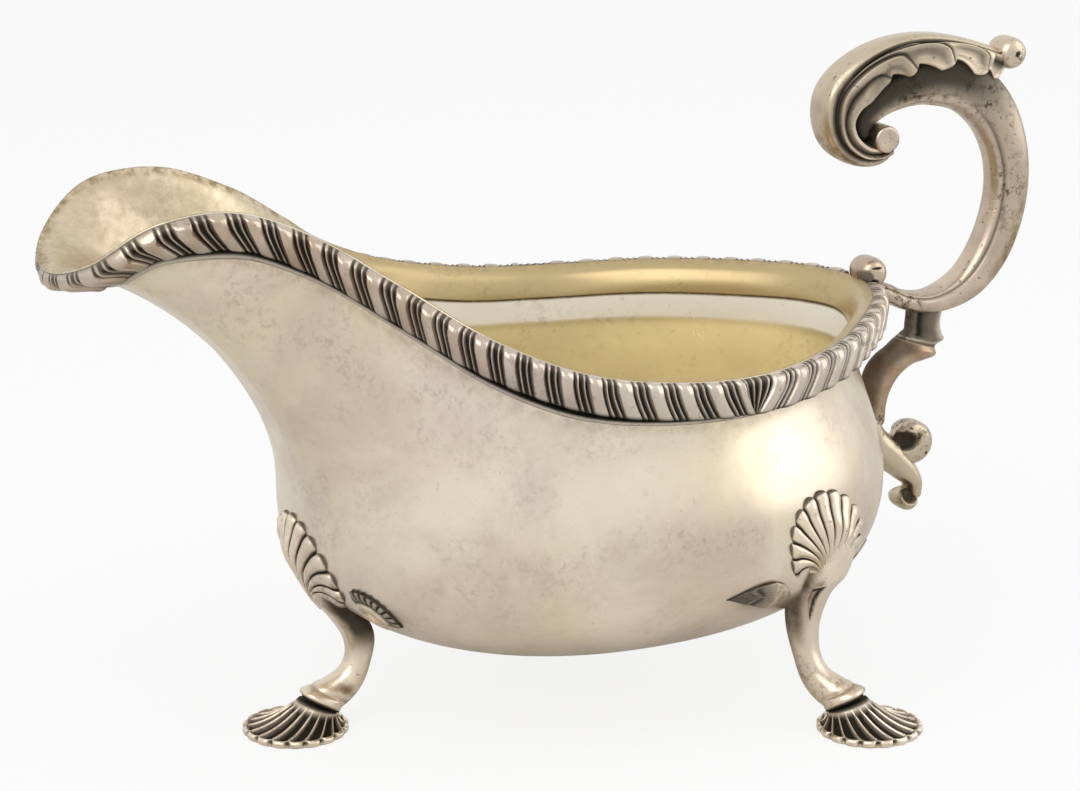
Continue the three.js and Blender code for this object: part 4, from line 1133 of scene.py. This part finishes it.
# %% Aged silver: the shared group
group_inputs = (
    ("Base", "NodeSocketColor", (0.6, 0.52, 0.41, 1)), ("Warm", "NodeSocketColor", (0.6, 0.5, 0.34, 1)),
    ("Tarnish", "NodeSocketColor", (0.45, 0.36, 0.32, 1)), ("Tarnish amount", "NodeSocketFloat", 0.4),
    ("Recess", "NodeSocketFloat", 0.0), ("Dirt", "NodeSocketFloat", 0.0), ("Copper", "NodeSocketFloat", 0.0),
    ("Pits", "NodeSocketFloat", 0.3), ("Gloss", "NodeSocketFloat", 0.2))
group_outputs = (("Color", "NodeSocketColor"), ("Roughness", "NodeSocketFloat"),
                 ("Height", "NodeSocketFloat"), ("Metal", "NodeSocketFloat"))
# the copper, grime and oxide tones also serve for painted shade
blotch_brown, pit_brown, bare_copper = (0.27, 0.20, 0.12), (0.10, 0.075, 0.045), (0.34, 0.20, 0.11)
grime_brown, oxide_black = (0.23, 0.165, 0.075), (0.03, 0.027, 0.02)


def aged_silver_group():
    tree = bpy.data.node_groups.new("aged_silver", "ShaderNodeTree")
    for name, kind, default in group_inputs:
        socket = tree.interface.new_socket(name, in_out="INPUT", socket_type=kind)
        socket.default_value = default
    for name, kind in group_outputs:
        tree.interface.new_socket(name, in_out="OUTPUT", socket_type=kind)
    given = tree.nodes.new("NodeGroupInput").outputs
    made = tree.nodes.new("NodeGroupOutput").inputs
    place = tree.nodes.new("ShaderNodeTexCoord").outputs["Object"]
    # wide warm clouds, then pinkish tarnish, then brown blotches
    broad = between(tree, noise(tree, place, 17.0, 4.0, 0.6, 0.6), 0.40, 0.60)
    clouds = noise(tree, place, 36.0, 6.0, 0.66, 0.4)
    cloudy = times(tree, between(tree, clouds, 0.44, 0.66), given["Tarnish amount"])
    blotches = between(tree, noise(tree, place, 95.0, 5.0, 0.7), 0.60, 0.74)
    blotchy = times(tree, blotches, times(tree, given["Tarnish amount"], 0.4))
    colour = blend(tree, broad, given["Base"], given["Warm"])
    colour = blend(tree, cloudy, colour, given["Tarnish"])
    colour = blend(tree, blotchy, colour, blotch_brown)
    # fine specks everywhere, and a mottled crust in patches
    specks = between(tree, noise(tree, place, 820.0, 2.0, 0.6), 0.66, 0.74)
    mottled = between(tree, noise(tree, place, 620.0, 4.0, 0.75), 0.50, 0.62)
    patches = between(tree, noise(tree, place, 75.0, 3.0, 0.6), 0.50, 0.64)
    pits = maths(tree, "MAXIMUM", times(tree, specks, 0.8), times(tree, mottled, patches))
    pits = times(tree, pits, given["Pits"], True)
    colour = blend(tree, pits, colour, pit_brown)
    # copper showing through, then grime, then oxide; each also lays painted shade
    uneven = between(tree, noise(tree, place, 130.0, 4.0, 0.6), 0.25, 0.6)
    copper = times(tree, given["Copper"], times(tree, uneven, 0.8), True)
    colour = blend(tree, copper, colour, bare_copper)
    grain = between(tree, noise(tree, place, 420.0, 4.0, 0.7), 0.35, 0.6)
    dirt = times(tree, given["Dirt"], grain, True)
    colour = blend(tree, times(tree, dirt, 0.75), colour, grime_brown)
    colour = blend(tree, given["Recess"], colour, oxide_black)
    rough = maths(tree, "ADD", times(tree, clouds, 0.2), given["Gloss"])
    dull = times(tree, maths(tree, "MAXIMUM", given["Recess"], dirt), 0.4)
    fine = times(tree, noise(tree, place, 240.0, 4.0, 0.6), 0.3)
    feed(tree, made["Color"], colour)
    feed(tree, made["Roughness"], maths(tree, "ADD", rough, dull, True))
    feed(tree, made["Height"], maths(tree, "SUBTRACT", fine, pits))
    feed(tree, made["Metal"], maths(tree, "SUBTRACT", 1.0, times(tree, given["Recess"], 0.85), True))
    return tree


aged_silver = aged_silver_group()
print("nodes in the shared group:", len(aged_silver.nodes))

# %% [markdown]
# ## Aged silver: four finishes
# Bowl, border, handle and legs share the group with tones of their own. The bowl's masks `gilt` and `deep`
# lay gold over it, and its shoulder mask lays pale silver over it as a painted highlight. Gold is aged less
# on its base than in its warm clouds and its tarnish.

# %% Aged silver: four finishes
bump_distance = 0.0004
gold_aged, gold_dulls = (0.42, 0.33, 0.18), 0.38
# the shoulder's pale tone is a painted highlight, not gold
gilding = dict(gilt=(0.54, 0.42, 0.22), deep=(0.92, 0.83, 0.58), pale=(0.98, 0.95, 0.89))


def silver_material(name, base, warm, tarnish, amount, pits, gloss, bumpiness=0.12, gold=None):
    material = bpy.data.materials.new(name)
    material.use_nodes = True
    tree = material.node_tree
    shader = tree.nodes["Principled BSDF"].inputs
    group = tree.nodes.new("ShaderNodeGroup")
    group.node_tree = aged_silver
    metal = group.outputs["Metal"]
    feed(tree, shader["Specular IOR Level"], times(tree, metal, 0.2))
    tones = (base, warm, tarnish)
    if gold:
        gilded, paler, deep = (mask_of(tree, mask) for mask in ("gilt", "pale", "deep"))
        leaf_gold = blend(tree, deep, gold["gilt"], gold["deep"])
        # the tones are lightened to pale silver where the painted highlight lies
        lighter = [blend(tree, paler, tone, gold["pale"]) for tone in tones]
        golden = [blend(tree, aged, leaf_gold, gold_aged) for aged in (0.0, 0.16, 0.3)]
        tones = [blend(tree, gilded, plain_tone, gold_tone) for plain_tone, gold_tone in zip(lighter, golden)]
        # the painted highlight is made not metal so that its pale tone shows; gilt is made less metal
        worn = maths(tree, "MAXIMUM", paler, times(tree, gilded, gold_dulls))
        metal = times(tree, metal, maths(tree, "SUBTRACT", 1.0, worn))
    given = dict(zip(("Base", "Warm", "Tarnish"), tones))
    given.update({"Tarnish amount": amount, "Pits": pits, "Gloss": gloss})
    given.update({mask: mask_of(tree, mask.lower()) for mask in ("Recess", "Dirt", "Copper")})
    for socket, value in given.items():
        feed(tree, group.inputs[socket], value)
    raised = add_node(tree, "ShaderNodeBump", Strength=bumpiness, Distance=bump_distance)
    feed(tree, raised.inputs["Height"], group.outputs["Height"])
    feed(tree, shader["Base Color"], group.outputs["Color"])
    feed(tree, shader["Roughness"], group.outputs["Roughness"])
    feed(tree, shader["Normal"], raised.outputs["Normal"])
    feed(tree, shader["Metallic"], metal)
    return material


finishes = {
    "bowl_silver": silver_material(
        "bowl_metal", (0.80, 0.71, 0.58), (0.73, 0.63, 0.46), (0.55, 0.44, 0.38),
        0.6, 0.2, 0.2, gold=gilding),
    "border_silver": silver_material(
        "border_metal", (0.66, 0.58, 0.49), (0.60, 0.52, 0.41), (0.44, 0.35, 0.32),
        0.7, 0.5, 0.16),
    "handle_silver": silver_material(
        "handle_metal", (0.62, 0.52, 0.40), (0.53, 0.45, 0.32), (0.38, 0.29, 0.23),
        0.8, 1.0, 0.2, bumpiness=0.3),
    "leg_silver": silver_material(
        "leg_metal", (0.89, 0.78, 0.63), (0.80, 0.68, 0.52), (0.58, 0.47, 0.38),
        0.7, 0.6, 0.18, bumpiness=0.2)}
for piece in bpy.data.objects:
    if piece.type == "MESH" and piece.get("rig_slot") in finishes:
        piece.data.materials.clear()
        piece.data.materials.append(finishes[piece["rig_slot"]])
print("finishes:", len(finishes))

# %% [markdown]
# ## Floor and surround
# A pale floor, which the camera sees almost white, lies under a white surround. What the camera and the
# reflections see of the surround is brighter than the light it gives.

# %% Floor and surround
bpy.ops.object.select_all(action="DESELECT")
bpy.ops.mesh.primitive_plane_add(size=6, location=(0, 0, 0))
floor = bpy.context.object
floor.name = "floor"
paper = bpy.data.materials.new("white_paper")
paper.use_nodes = True
tree = paper.node_tree
paper_shader = tree.nodes["Principled BSDF"]
paper_shader.inputs["Base Color"].default_value = (0.9, 0.9, 0.9, 1)
paper_shader.inputs["Roughness"].default_value = 0.9
rays = tree.nodes.new("ShaderNodeLightPath").outputs
glow = add_node(tree, "ShaderNodeEmission", Color=(1, 1, 1, 1), Strength=1.0)
mixed = tree.nodes.new("ShaderNodeMixShader")
feed(tree, mixed.inputs["Fac"], times(tree, rays["Is Camera Ray"], 0.84))
feed(tree, mixed.inputs[1], paper_shader.outputs["BSDF"])
feed(tree, mixed.inputs[2], glow.outputs["Emission"])
feed(tree, tree.nodes["Material Output"].inputs["Surface"], mixed.outputs["Shader"])
floor.data.materials.append(paper)

world = bpy.data.worlds.new("studio")
bpy.context.scene.world = world
world.use_nodes = True
tree = world.node_tree
surround = tree.nodes["Background"].inputs
surround["Color"].default_value = (1, 1, 1, 1)
rays = tree.nodes.new("ShaderNodeLightPath").outputs
seen = maths(tree, "MAXIMUM", rays["Is Camera Ray"], rays["Is Glossy Ray"])
seen = maths(tree, "MAXIMUM", seen, rays["Is Transmission Ray"])
level = add_node(tree, "ShaderNodeMapRange", To_Min=0.6, To_Max=1.0)
feed(tree, level.inputs["Value"], seen)
feed(tree, surround["Strength"], level.outputs["Result"])
print("floor:", floor.name, " surround:", world.name)

# %% [markdown]
# ## Lamps
# Two large soft lamps stand high at the left and at the right, both in front of the piece.

# %% Lamps
def soft_lamp(name, place, size, watts):
    bpy.ops.object.light_add(type="AREA", location=place)
    lamp = bpy.context.object
    lamp.name = name
    lamp.data.shape = "RECTANGLE"
    lamp.data.size, lamp.data.size_y = size
    lamp.data.energy = watts
    lamp.rotation_euler = (Vector((0, 0, 0.06)) - Vector(place)).to_track_quat("-Z", "Y").to_euler()
    return lamp


lamps = [soft_lamp("key", (-0.7, -0.5, 0.9), (1.0, 1.0), 6),
         soft_lamp("fill", (0.8, -0.4, 0.5), (0.9, 1.2), 3)]
print("lamps:", [lamp.name for lamp in lamps])

# %% [markdown]
# ## Camera
# It stands where the picture was taken from, and its focal length is given in pixels of the picture.

# %% Camera
picture_width, focal_pixels, sensor_width = 1080, 3308.9, 36
camera_distance = 0.650
camera_data = bpy.data.cameras.new("camera")
camera = bpy.data.objects.new("camera", camera_data)
bpy.context.scene.collection.objects.link(camera)
back = Vector((-0.3989, -0.8753, 0.2732)).normalized()
target = Vector((shift / 1000, 0, 0.0618))
camera.location = target + camera_distance * back
camera.rotation_euler = back.to_track_quat("Z", "Y").to_euler()
camera_data.sensor_width = sensor_width
camera_data.lens = focal_pixels / picture_width * sensor_width
bpy.context.scene.camera = camera
bpy.context.scene.view_settings.view_transform = "Standard"
print("camera at", tuple(round(c, 4) for c in camera.location))
